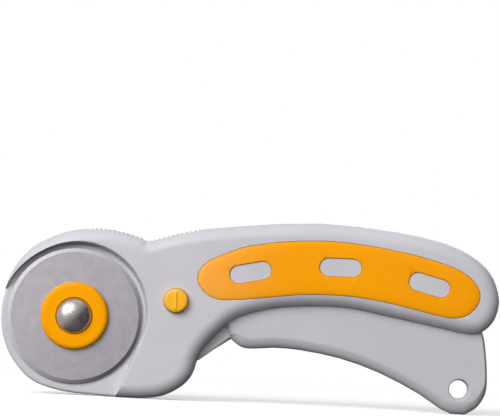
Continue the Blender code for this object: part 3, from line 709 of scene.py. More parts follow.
@dataclass
class GripWindows:
    """The three windows of the grip inlay, which islands of the shell fill."""

    length: float = 14.2 * MM
    width: float = 6.2 * MM
    places: tuple = ((knot(58.8, 14.3), 9.5), (knot(88.7, 15.9), -2.5), (knot(118.2, 10.1), -17.0))

    def shapes(self, name: str, grow: float, rings: Sequence[tuple]) -> bpy.types.Mesh:
        """One mesh with a plate in each window.

        Args:
            name: The mesh's name.
            grow: How far each plate is larger than its window all round.
            rings: The plates' pairs of inset and height.

        Returns:
            The mesh.
        """
        size = (self.length + 2 * grow, self.width + 2 * grow)
        return combined(name, [lofted(name, obround(at, *size, tilt), rings) for at, tilt in self.places])


@dataclass
class Housing:
    """The two handle shells, their screws, the thumb rest and the hole for the lock."""

    plan: Plan = PLAN
    edge: float = 4.6 * MM
    side_wall: float = 2.3 * MM
    guard_rim: float = 2.0 * MM
    guard_wall: float = 1.8 * MM
    guard_edge: float = 0.9 * MM
    pocket_centre: Point = (1.0 * MM, 1.0 * MM)
    pocket_radius: float = 23.7 * MM
    pocket_flare: float = 1.9 * MM
    pocket_lip: float = 0.5 * MM
    pocket_lean: float = 1.15 * MM
    pocket_open: float = math.radians(161)
    boss_radius: float = 2.9 * MM
    ridge_pitch: float = 1.5 * MM
    ridge_depth: float = 0.5 * MM
    ridge_spacing: float = 0.19 * MM
    ridge_stretches: tuple = ((4.2 * MM, 23.6 * MM), (25.2 * MM, 42.6 * MM))
    inlay_depth: float = 1.3 * MM
    inlay_gap: float = 0.08 * MM
    seat_lip: float = 0.2 * MM
    sliding_gap: float = 0.5 * MM
    lock_radius: float = 4.1 * MM
    screw_head: float = 2.2 * MM
    screw_depth: float = 4.3 * MM
    windows: GripWindows = field(default_factory=GripWindows)

    def outline(self) -> list[Point]:
        """The outline, with enough points along the thumb rest for its ridges."""
        return refined(smooth(HOUSING_KNOTS), self.ridge_spacing, self.on_thumb_rest)

    def on_thumb_rest(self, place: Point) -> bool:
        """Whether a point of the outline lies on the ridged top edge."""
        return place[1] > 20 * MM and any(low < place[0] < high for low, high in self.ridge_stretches)

    def ridge_insets(self, outline: Sequence[Point], fade: float) -> list[float]:
        """How deep the valleys between the ridges lie at each point of the outline.

        Args:
            outline: The outline.
            fade: The share of the full depth at this height.

        Returns:
            One inset for each point.
        """
        insets = []
        for x, y in outline:
            depth = 0.0
            for low, high in self.ridge_stretches:
                if y > 20 * MM and low < x < high:
                    wave = 0.5 - 0.5 * math.cos(math.tau * (x - low) / self.ridge_pitch)
                    ends = min(1.0, (x - low) / MM, (high - x) / MM)
                    depth = self.ridge_depth * wave**1.5 * max(0.0, ends)
            insets.append(depth * fade)
        return insets

    def body_rings(self, outline: Sequence[Point]) -> list[tuple]:
        """The rings of a shell's outside, with ridges that fade out over its rounded edge.

        Args:
            outline: The shell's outline.

        Returns:
            The rings, from the parting plane up.
        """
        rings = []
        for inset, height in [(0.0, self.plan.parting), *rounding(self.edge, self.plan.half, 9)]:
            fade = min(1.0, max(0.0, (self.plan.half - 1.2 * MM - height) / (2.6 * MM)))
            rings.append(([inset + ridge for ridge in self.ridge_insets(outline, fade)], height))
        return rings

    def pocket(self, grow: float = 0.0) -> list[Point]:
        """The blade's pocket, open to the lower left: an arc over the blade, then a straight wall.

        Args:
            grow: How far the wall is moved outwards.

        Returns:
            The closed outline.
        """
        open_end, flare_end, leave = self.pocket_open, math.radians(112), math.radians(-25)
        radius = self.pocket_radius + grow
        wall = []
        for i in range(10):
            share = 1 - i / 10
            angle = flare_end + (open_end - flare_end) * share
            wall.append(polar(self.pocket_centre, radius + self.pocket_flare * share**1.6, angle))
        wall += arc(self.pocket_centre, radius, flare_end, leave, 3.0)
        foot = Vector(wall[-1]) + Vector((math.sin(leave), -math.cos(leave))) * 40 * MM
        rim_end = Vector(wall[0]) + Vector((math.cos(open_end), math.sin(open_end))) * 40 * MM
        return wall + [tuple(foot), (rim_end.x, foot.y), tuple(rim_end)]

    def pocket_cutter(self, name: str) -> bpy.types.Mesh:
        """The cutter for the blade's pocket, whose wall leans back, most of all on the handle's side.

        Args:
            name: The shell's name.

        Returns:
            The cutter.
        """
        outline = self.pocket()
        lean = []
        for x, y in outline:
            angle = math.degrees(math.atan2(y - self.pocket_centre[1], x - self.pocket_centre[0]))
            share = min(1.0, max(0.0, (105 - angle) / 60)) if angle > -26 else 0.4
            lean.append(self.pocket_lean * (0.1 + 0.9 * share) if angle < 170 and y > -30 * MM else 0.0)
        rings: list[tuple] = [(lean, -2 * MM), (lean, self.plan.guard)]
        rings += [([step * 0.06 + inset for step in lean], height) for inset, height in
                  self.flare(self.plan.half, self.pocket_lip)[:-1]]
        rings.append((-self.pocket_lip, self.plan.half + 10 * MM))
        return lofted(f"{name}_pocket", outline, rings)

    def head_block(self) -> list[Point]:
        """The head, which the grip's hollow stays out of.

        Returns:
            The closed outline.
        """
        leave = math.radians(-25)
        wall = arc(self.pocket_centre, self.pocket_radius + self.side_wall, math.radians(40), leave)
        foot = Vector(wall[-1]) + Vector((math.sin(leave), -math.cos(leave))) * 40 * MM
        far = 400 * MM
        return wall + [tuple(foot), (-far, foot.y), (-far, far), (wall[0][0], far)]

    def trigger_slot(self, reach: float, front: float) -> list[Point]:
        """Where the trigger goes in and out of the handle, between two arcs round the pivot.

        Args:
            reach: How far the trigger's tail lies from the pivot.
            front: How far its front edge lies from the pivot.

        Returns:
            The closed outline.
        """
        inner = arc(self.plan.pivot, front - self.sliding_gap, 0.0, math.radians(58))
        ceiling = [(60 * MM, 8.5 * MM), (84 * MM, 9.5 * MM), (112 * MM, 5.5 * MM), (128 * MM, 1.8 * MM)]
        outer = arc(self.plan.pivot, reach + self.sliding_gap, math.radians(10.5), math.radians(-15), 2.0)
        return inner + ceiling + outer

    def flare(self, top: float, lip: float) -> Profile:
        """The upper rings of a cutter that leaves a rounded lip where it comes out of a face.

        Args:
            top: The height of the face.
            lip: The lip's radius.

        Returns:
            Pairs of inset and height.
        """
        angles = [math.pi / 2 * i / 5 for i in range(6)]
        made = [(-lip * (1 - math.cos(a)), top - lip + lip * math.sin(a)) for a in angles]
        return [*made[:-1], (-lip, top + 0.02 * MM), (-lip, top + 10 * MM)]

    def shell(self, name: str, front: bool, lever: "Lever") -> bpy.types.Mesh:
        """One shell, made as the front one and turned over for the rear one.

        Args:
            name: The mesh's name.
            front: Whether it is the front shell.
            lever: The lever that it has to leave room for.

        Returns:
            The finished mesh.
        """
        plan, below = self.plan, -2 * MM
        outline = self.outline()
        plain = smooth(HOUSING_KNOTS)
        guard = Blank(lofted(f"{name}_guard", offset(plain, -0.05 * MM),
                             [(0.0, plan.parting), *rounding(self.guard_edge, plan.guard, 4)]))
        guard.keep(slab(f"{name}_guard_area", self.pocket(1.1 * MM), below, plan.half))
        hollow = Blank(slab(f"{name}_grip_space", offset(plain, -self.side_wall), below, plan.cavity))
        hollow.cut(slab(f"{name}_head_block", self.head_block(), 2 * below, plan.half))
        kidney = arc_slot(plan.pivot, plan.link_radius, plan.link_angle, plan.link_angle + plan.squeeze,
                          lever.eye_boss + self.sliding_gap)
        slot = slab(f"{name}_slot", self.trigger_slot(lever.reach(), lever.front), below,
                    plan.trigger + self.sliding_gap)
        throat = [knot(35.0, -19.4), knot(54.0, -6.6), knot(56.0, 0.0), knot(50.0, 4.0), knot(40.0, 2.0),
                  knot(34.0, -8.0)]
        far = plan.half + 10 * MM
        shell = Blank(lofted(name, outline, self.body_rings(outline)))
        shell.cut(self.pocket_cutter(name))
        shell.join(guard.finished())
        shell.cut(slab(f"{name}_head_space", offset(plain, -self.guard_rim), below,
                       plan.guard - self.guard_wall))
        shell.cut(hollow.finished())
        shell.join(
            combined(f"{name}_bosses", [
                disc("boss", place, plan.parting, plan.cavity + plan.gap, self.boss_radius)
                for place in plan.screws]),
            disc(f"{name}_pivot_boss", plan.pivot, 5.9 * MM, plan.cavity + plan.gap, 4.4 * MM),
        )
        shell.cut(
            slot,
            slab(f"{name}_throat", [p[:2] for p in throat], below, plan.arm + self.sliding_gap),
            slab(f"{name}_kidney", kidney, below, plan.guard + plan.gap),
            disc(f"{name}_pivot_bore", plan.pivot, below, 8.3 * MM, plan.pin_radius + 0.15 * MM),
            turned(f"{name}_lock_hole", plan.lock, self.hole_profile(self.lock_radius, below, far), 72),
            self.inlay_seat(name),
        )
        if not front:
            shell.cut(*self.screw_holes(name))
        made = shell.finished()
        return made if front else mirrored(made)

    def hole_profile(self, radius: float, bottom: float, top: float) -> Profile:
        """The profile of a drill that leaves a small rounded lip in the shell's face.

        Args:
            radius: The hole's radius.
            bottom: The drill's lower end.
            top: Its upper end.

        Returns:
            The profile's points.
        """
        lip = 0.2 * MM
        face = self.plan.half
        return [(0.0, top), (radius + lip, top), (radius + lip, face + 0.05 * MM),
                (radius + lip * 0.3, face - lip * 0.3),
                (radius, face - lip), (radius, bottom), (0.0, bottom)]

    def inlay_seat(self, name: str) -> bpy.types.Mesh:
        """The cutter for the inlay's seat, which leaves the islands standing.

        Args:
            name: The shell's name.

        Returns:
            The cutter.
        """
        floor, top = self.plan.half - self.inlay_depth, self.plan.half + 10 * MM
        outline = offset(inlay_outline(), self.inlay_gap)
        seat = Blank(lofted(f"{name}_seat", outline,
                            [(0.0, floor), *self.flare(self.plan.half, self.seat_lip)]))
        island = [(0.0, floor - MM), *rounding(self.seat_lip, self.plan.half + 0.01 * MM, 3),
                  (self.seat_lip, top + MM)]
        seat.cut(self.windows.shapes(f"{name}_islands", -self.inlay_gap, island))
        return seat.finished()

    def screw_holes(self, name: str) -> list[bpy.types.Mesh]:
        """The cutters for the screws' holes and sinks.

        Args:
            name: The shell's name.

        Returns:
            One cutter for the holes and one for the sinks.
        """
        seat, far = self.plan.half - self.screw_depth, self.plan.half + 10 * MM
        holes = [disc("hole", place, -MM, seat + self.plan.gap, 1.25 * MM) for place in self.plan.screws]
        sinks = [disc("sink", place, seat, far, self.screw_head) for place in self.plan.screws]
        return [combined(f"{name}_holes", holes), combined(f"{name}_sinks", sinks)]

    def screw(self, name: str, place: Point) -> bpy.types.Mesh:
        """A thread-forming screw with a cross recess, driven in from the rear.

        Args:
            name: The mesh's name.
            place: Where its axis crosses the design plane.

        Returns:
            The closed mesh.
        """
        seat, tip = -5.3 * MM, 4.7 * MM
        radius, head, rise = 1.1 * MM, 1.9 * MM, 1.6 * MM
        profile: Profile = [(0.0, tip), (0.4 * MM, tip), (radius, tip - 1.2 * MM)]
        pitch = 0.8 * MM
        for turn in range(int((tip - 1.2 * MM - seat) / pitch)):
            height = tip - 1.2 * MM - pitch * turn
            profile += [(radius, height - 0.1 * MM), (radius * 0.8, height - 0.35 * MM),
                        (radius * 0.8, height - 0.45 * MM)]
        profile += [(radius, seat), (head, seat)]
        profile += [(head - inset, seat - (height - seat))
                    for inset, height in rounding(0.9 * MM, seat + rise, 5)]
        profile.append((0.0, seat - rise))
        turns = (25.0, 115.0)
        recess = [self.cross_arm(f"{name}_recess_{i}", place, seat - rise, turn)
                  for i, turn in enumerate(turns)]
        return Blank(turned(name, place, profile, 48)).cut(*recess).finished()

    @staticmethod
    def cross_arm(name: str, place: Point, face: float, degrees: float) -> bpy.types.Mesh:
        """One tapered arm of a screw's cross recess."""
        arm = obround(place, 2.5 * MM, 0.5 * MM, degrees)
        return lofted(name, arm, [(0.14 * MM, face + 1.0 * MM), (0.0, face - 0.2 * MM)])

    def build(self, shop: Workshop, lever: "Lever", body: "Finish", steel: "Finish") -> None:
        """Makes the shells, the screws and the hinge pin.

        Args:
            shop: The workshop that places them.
            lever: The lever that runs inside the shells.
            body: The shells' finish.
            steel: The finish of the screws and the pin.
        """
        for name, node, front in (("front_shell", "front_housing", True),
                                  ("rear_shell", "rear_housing", False)):
            mesh = self.shell(name, front, lever)
            body.dress(shop.place(mesh, self.plan.blade, Body.HOUSING, Slot.BODY, node))
        for number, place in enumerate(self.plan.screws, 1):
            mesh = self.screw(f"shell_screw_{number}", place)
            steel.dress(shop.place(mesh, place, Body.HOUSING, Slot.BOLT, f"housing_screw_{number}"))
        pin = rounded_profile([(0.0, 8 * MM, 0.0), (self.plan.pin_radius, 8 * MM, 0.4 * MM),
                               (self.plan.pin_radius, -8 * MM, 0.4 * MM), (0.0, -8 * MM, 0.0)])
        mesh = turned("hinge_pin", self.plan.pivot, pin, 48)
        steel.dress(shop.place(mesh, self.plan.pivot, Body.HOUSING, Slot.BOLT, "pivot_pin"))


@dataclass
class GripInlays:
    """The soft inlays in both faces of the grip: slightly crowned, with three windows."""

    plan: Plan = PLAN
    depth: float = 1.3 * MM
    windows: GripWindows = field(default_factory=GripWindows)
    crown: tuple = ((0.0, -0.16), (0.05, -0.04), (0.16, 0.06), (0.36, 0.15), (0.75, 0.25), (1.4, 0.35),
                    (2.3, 0.43), (3.6, 0.48))

    def inlay(self, name: str) -> bpy.types.Mesh:
        """One inlay, with soft lips round its edge and its windows.

        Args:
            name: The mesh's name.

        Returns:
            The closed mesh.
        """
        half = self.plan.half
        rings = [(0.0, half - self.depth + 0.08 * MM)]
        rings += [(inset * MM, half + rise * MM) for inset, rise in self.crown]
        crest = half + self.crown[-1][1] * MM
        lip = 0.2 * MM
        flare = [(-lip * (1 - math.cos(a)), crest - lip + lip * math.sin(a)) for a in (0, 0.4, 0.8, 1.2)]
        cutter = [(0.0, half - 3 * MM), *flare, (-lip, crest + 0.02 * MM), (-lip, crest + 5 * MM)]
        blank = Blank(lofted(name, inlay_outline(), rings))
        return blank.cut(self.windows.shapes(f"{name}_windows", 0.0, cutter)).finished()

    def build(self, shop: Workshop, rubber: "Finish") -> None:
        """Makes both inlays and gives them the rubber finish.

        Args:
            shop: The workshop that places them.
            rubber: Their finish.
        """
        for name, node, front in (("front_grip", "front_grip_inlay", True),
                                  ("rear_grip", "rear_grip_inlay", False)):
            mesh = self.inlay(name)
            turned_over = mesh if front else mirrored(mesh)
            rubber.dress(shop.place(turned_over, self.plan.blade, Body.HOUSING, Slot.RUBBER, node))


# --------------------------------------------------------------------------------------------------
# Lever and lock
# --------------------------------------------------------------------------------------------------


@dataclass
class Lever:
    """The squeeze lever: its trigger, its arm, the link to the blade's eye and the lock's web."""

    plan: Plan = PLAN
    edge: float = 3.7 * MM
    edge_height: float = 3.2 * MM
    crease: float = 1.15
    tight: float = 0.25
    front: float = 24.2 * MM
    eye_radius: float = 8.5 * MM
    eye_boss: float = 5.0 * MM
    eye_height: float = 5.2 * MM
    hub_radius: float = 6.2 * MM
    hub_boss: float = 3.6 * MM
    hub_height: float = 5.6 * MM
    hole_place: Point = (128.2 * MM, -24.6 * MM)
    hole_radius: float = 3.35 * MM
    hole_lip: float = 0.45 * MM
    hole_draft: float = 0.35 * MM
    arm_ends: tuple = (knot(39.6, -11.6), knot(51.5, -3.6))
    peg_radius: float = 0.9 * MM
    spring_wire: float = 0.9 * MM
    spring_leg: float = 8.5 * MM
    spring_turns: float = 1.75
    spring_pitch: float = 0.95 * MM

    def outline(self) -> list[Point]:
        """The trigger's outline, with its front edge on an arc round the pivot."""
        front = arc(self.plan.pivot, self.front, math.radians(51), math.radians(23), 3.0)
        return smooth([(*front[0], SHARP)] + front[1:] + list(TRIGGER_KNOTS))

    def reach(self) -> float:
        """How far the trigger's tail lies from the pivot."""
        return max(math.dist(point, self.plan.pivot) for point in self.outline())

    def body_rings(self) -> list[tuple]:
        """The rings of the trigger's edge, rounded broadly where it faces down and tightly elsewhere.

        Returns:
            The rings, from the rear face to the front one.
        """
        outline = self.outline()
        grown = offset(outline, 1.0)
        down = [min(1.0, max(0.0, here[1] - there[1])) for here, there in zip(outline, grown)]
        shares = [self.tight + (1 - self.tight) * share for share in down]
        full = 1 - math.cos(self.crease)
        turns = [self.crease * i / 8 for i in range(9)]
        rings = [(self.edge * (1 - math.cos(a)) / full, self.plan.trigger - self.edge_height *
                  (1 - math.sin(a) / math.sin(self.crease))) for a in turns]
        upper: list[tuple] = []
        for inset, height in rings:
            upper.append(([inset * share for share in shares], height))
        return [(inset, -height) for inset, height in reversed(upper)] + upper

    def hanging_hole(self) -> bpy.types.Mesh:
        """The cutter for the hanging hole, drafted to a waist, with a rounded lip at both faces.

        Returns:
            The cutter.
        """
        rings = [(self.hole_radius - inset, height) for inset, height in
                 Housing().flare(self.plan.trigger, self.hole_lip)]
        lower = [(radius, -height) for radius, height in reversed(rings)]
        waist = (self.hole_radius - self.hole_draft, 0.0)
        profile = [(0.0, rings[-1][1]), *reversed(rings), waist, *reversed(lower), (0.0, -rings[-1][1])]
        return turned("hanging_hole", self.hole_place, profile, 72)

    def mesh(self) -> bpy.types.Mesh:
        """The whole lever as one moulding.

        Returns:
            The closed mesh.
        """
        plan = self.plan
        wide = 3.6 * MM
        top = polar(plan.pivot, plan.lock_radius, plan.lock_angle - plan.squeeze / 2)
        shut = polar(plan.pivot, plan.lock_radius, plan.lock_angle - plan.squeeze)
        link, lock_web, web = plan.link - 0.15 * MM, plan.link - 0.3 * MM, plan.link - 0.45 * MM
        body = lofted("squeeze_lever", self.outline(), self.body_rings())
        arm = belt(self.arm_ends[0], wide, self.arm_ends[1], wide - plan.gap)
        spine = belt(plan.pivot, 4.2 * MM, self.arm_ends[1], 3.9 * MM)
        lever = Blank(body)
        lever.join(
            lofted("lever_arm", arm, both_sides(rounding(0.5 * MM, plan.arm, 3))),
            slab("lever_spine", spine, -web, web),
            disc("lever_hub", plan.pivot, -plan.link, plan.link, self.hub_radius),
            slab("lever_link", belt(plan.pivot, 5.0 * MM, plan.blade, 5.3 * MM), -link, link),
            disc("lever_eye", plan.blade, -plan.link, plan.link, self.eye_radius),
            slab("lever_lock_web", belt(plan.pivot, 6.7 * MM, top, 7.0 * MM), -lock_web, lock_web),
            disc("lever_eye_boss", plan.blade, -self.eye_height, self.eye_height, self.eye_boss),
            disc("lever_hub_boss", plan.pivot, -self.hub_height, self.hub_height, self.hub_boss),
            disc("lever_peg", self.peg_place(), 0.0, plan.arm + plan.gap, self.peg_radius),
        )
        lever.cut(
            disc("pivot_bore", plan.pivot, -plan.half, plan.half, plan.pin_radius + 0.15 * MM),
            disc("axle_bore", plan.blade, -plan.half, plan.half, plan.axle_radius + 0.15 * MM),
            self.hanging_hole(),
            disc("lock_hole_open", plan.lock, -plan.half, plan.half, 2.8 * MM),
            disc("lock_hole_shut", shut, -plan.half, plan.half, 2.8 * MM),
        )
        return lever.finished()

    def coil_radius(self) -> float:
        """The radius of the return spring's centre line."""
        return self.hub_boss + self.plan.gap + self.spring_wire

    def peg_place(self) -> Point:
        """Where the lever's peg stands, which the spring's upright leg presses on."""
        across = self.coil_radius() + self.spring_wire / 2 + self.plan.gap + self.peg_radius
        return (self.plan.pivot[0] + across, self.plan.pivot[1] + self.spring_leg - self.peg_radius)

    def spring(self) -> bpy.types.Mesh:
        """The torsion spring round the hub, with a leg on the lever's peg and a leg in the front shell.

        Returns:
            The closed mesh.
        """
        radius, pivot = self.coil_radius(), self.plan.pivot
        low = self.plan.link + self.plan.gap + self.spring_wire / 2
        count = round(self.spring_turns * 48)
        points = [(pivot[0] + radius, pivot[1] + self.spring_leg * (1 - i / 6), low) for i in range(6)]
        for i in range(count + 1):
            x, y = polar(pivot, radius, -math.tau * self.spring_turns * i / count)
            points.append((x, y, low + self.spring_pitch * self.spring_turns * i / count))
        top = points[-1][2]
        points += [(pivot[0] + self.spring_leg * i / 6, pivot[1] + radius, top) for i in range(1, 7)]
        return tube("torsion_spring", points, self.spring_wire)

    def build(self, shop: Workshop, plastic: "Finish", wire: "Finish") -> None:
        """Makes the lever and the return spring.

        Args:
            shop: The workshop that places them.
            plastic: The lever's finish.
            wire: The spring's finish.
        """
        plastic.dress(shop.place(self.mesh(), self.plan.pivot, Body.LEVER, Slot.TRIGGER, "trigger_lever"))
        spring = shop.stand(self.spring(), self.plan.pivot, Slot.SPRING, "return_spring")
        wire.dress(spring)
        shop.bend(spring)


@dataclass
class Lock:
    """The cross-bolt lock: a ribbed front button on the bolt, and a cap on its rear end."""

    plan: Plan = PLAN
    radius: float = 4.0 * MM
    face: float = 11.9 * MM
    rib: float = 0.4 * MM
    flange: float = 0.9 * MM
    flange_thickness: float = 0.7 * MM
    bolt_radius: float = 2.5 * MM
    neck_radius: float = 1.5 * MM

    def button(self) -> bpy.types.Mesh:
        """The front button with its rib, flange, bolt and neck.

        Returns:
            The closed mesh.
        """
        flange, stop, tip = self.plan.cavity - self.plan.gap, 1.95 * MM, -4.75 * MM
        wide = self.radius + self.flange
        profile = rounded_profile([
            (0.0, self.face, 0.0), (self.radius, self.face, 0.9 * MM), (self.radius, flange, 0.0),
            (wide, flange, 0.1 * MM),
            (wide, flange - self.flange_thickness, 0.1 * MM),
            (self.bolt_radius, flange - self.flange_thickness, 0.0),
            (self.bolt_radius, stop, 0.3 * MM), (self.neck_radius, stop, 0.0),
            (self.neck_radius, tip, 0.3 * MM),
            (0.0, tip, 0.0)])
        button = Blank(turned("lock_plunger", self.plan.lock, profile, 72))
        bar = obround(self.plan.lock, 6.4 * MM, 1.3 * MM, 88.0)
        rings = [(-0.1 * MM, self.face - 0.6 * MM), (0.0, self.face),
                 (0.42 * MM, self.face + self.rib * 0.7),
                 (0.6 * MM, self.face + self.rib * 0.75)]
        return button.join(lofted("lock_rib", bar, rings)).finished()

    def cap(self) -> bpy.types.Mesh:
        """The rear button, with a socket for the neck and a dished face.

        Returns:
            The closed mesh.
        """
        mouth, floor, face = -1.95 * MM, -5.05 * MM, -9.0 * MM
        wide, socket = self.radius + self.flange, self.neck_radius + self.plan.gap
        profile = rounded_profile([
            (0.0, floor, 0.0), (socket, floor, 0.0), (socket, mouth, 0.1 * MM), (wide, mouth, 0.1 * MM),
            (wide, mouth - self.flange_thickness, 0.1 * MM),
            (self.radius, mouth - self.flange_thickness, 0.0),
            (self.radius, face, 0.6 * MM), (2.6 * MM, face, 0.3 * MM),
            (1.6 * MM, face + 0.35 * MM, 0.3 * MM),
            (0.0, face + 0.4 * MM, 0.0)])
        return turned("lock_cap", self.plan.lock, profile, 72)

    def build(self, shop: Workshop, orange: "Finish") -> None:
        """Makes both buttons and gives them their orange finish."""
        orange.dress(shop.place(self.button(), self.plan.lock, Body.LOCK, Slot.ORANGE, "lock_button"))
        orange.dress(shop.place(self.cap(), self.plan.lock, Body.LOCK, Slot.ORANGE, "lock_rear_button"))


# --------------------------------------------------------------------------------------------------
# Blade and clamp
# --------------------------------------------------------------------------------------------------


@dataclass
class BladeStack:
    """The blade, the ring that holds it and the bolt that it turns on."""

    plan: Plan = PLAN
    radius: float = 22.5 * MM
    seat: float = 5.5 * MM
    thickness: float = 0.3 * MM
    bevel: float = 1.15 * MM
    hole: float = 4.0 * MM
    lobe: float = 2.65 * MM
    lobe_reach: float = 5.9 * MM
    ring_radius: float = 11.25 * MM
    ring_base: float = 6.1 * MM
    ring_face: float = 8.7 * MM
    ring_round: float = 1.2 * MM
    seat_floor: float = 7.2 * MM
    head_radius: float = 6.0 * MM
    head_rise: float = 4.2 * MM

    def blade(self) -> bpy.types.Mesh:
        """The round blade, ground to an edge on both faces, with its three-lobed hole.

        Returns:
            The closed mesh.
        """
        top, middle = self.seat + self.thickness, self.seat + self.thickness / 2
        edge, hone = 0.02 * MM, 0.22 * MM
        mid_rise = self.thickness * 0.5 * 0.3
        upper = [(0.0, top), (self.radius - self.bevel - 0.03 * MM, top),
                 (self.radius - self.bevel, top - 0.002 * MM),
                 (self.radius - hone, middle + mid_rise), (self.radius, middle + edge)]
        lower = [(radius, 2 * middle - height) for radius, height in reversed(upper)]
        blank = Blank(turned("round_blade", self.plan.blade, upper + lower, 192))
        bottom, far = self.seat - MM, top + MM
        hole = Blank(disc("blade_hole", self.plan.blade, bottom, far, self.hole))
        for number in range(3):
            centre = polar(self.plan.blade, self.lobe_reach - self.lobe, math.tau * (number / 3 + 1 / 4))
            hole.join(disc(f"blade_lobe_{number}", centre, bottom, far, self.lobe))
        return blank.cut(hole.finished()).finished()

    def ring(self) -> bpy.types.Mesh:
        """The holder ring, with a rounded rim and a lip round the bolt's head.

        Returns:
            The closed mesh.
        """
        bore, hub = self.plan.axle_radius + 0.15 * MM, self.hole - self.plan.gap
        seat = self.head_radius + 0.1 * MM
        profile = rounded_profile([
            (seat, self.ring_face, 0.3 * MM), (self.ring_radius, self.ring_face, self.ring_round * 1.4),
            (self.ring_radius, self.ring_base, 0.15 * MM), (hub, self.ring_base, 0.0),
            (hub, self.seat, 0.1 * MM),
            (bore, self.seat, 0.1 * MM), (bore, self.seat_floor, 0.0), (seat, self.seat_floor, 0.0)], 8)
        return turned("blade_holder_ring", self.plan.blade, profile, 128)

    def bolt(self) -> bpy.types.Mesh:
        """The axle bolt, with a domed head and a chamfered end.

        Returns:
            The closed mesh.
        """
        seat = self.seat_floor + self.plan.gap
        rim = seat + self.head_rise * 0.24
        rise = self.head_rise * 0.76
        steps = 22
        dome = [(self.head_radius * math.sin(math.pi / 2 * i / steps),
                 rim + rise * math.cos(math.pi / 2 * i / steps))
                for i in range(steps + 1)]
        dome[0] = (0.0, rim + rise)
        radius, end = self.plan.axle_radius, -11.8 * MM
        shank = [(self.head_radius, seat + 0.15 * MM), (self.head_radius - 0.15 * MM, seat), (radius, seat)]
        thread = [(radius, -6.6 * MM)]
        pitch = 0.5 * MM
        for turn in range(9):
            height = -6.8 * MM - pitch * turn
            thread += [(radius, height), (radius - 0.22 * MM, height - pitch / 2),
                       (radius, height - pitch * 0.95)]
        tip = [(radius, end + 0.4 * MM), (radius - 0.4 * MM, end), (0.9 * MM, end),
               (0.6 * MM, end + 0.25 * MM),
               (0.0, end + 0.3 * MM)]
        return turned("axle_bolt_with_dome", self.plan.blade, dome + shank + thread + tip, 112)

    def build(self, shop: Workshop, finishes: "FinishBook") -> None:
        """Makes the blade, its ring and the bolt.

        Args:
            shop: The workshop that places them.
            finishes: The finishes to dress them in.
        """
        axis = self.plan.blade
        finishes.blade.dress(shop.place(self.blade(), axis, Body.BLADE, Slot.BLADE, "cutting_blade"))
        finishes.orange.dress(shop.place(self.ring(), axis, Body.BLADE, Slot.ORANGE, "blade_ring"))
        finishes.dome.dress(shop.place(self.bolt(), axis, Body.LEVER, Slot.BOLT, "axle_bolt"))


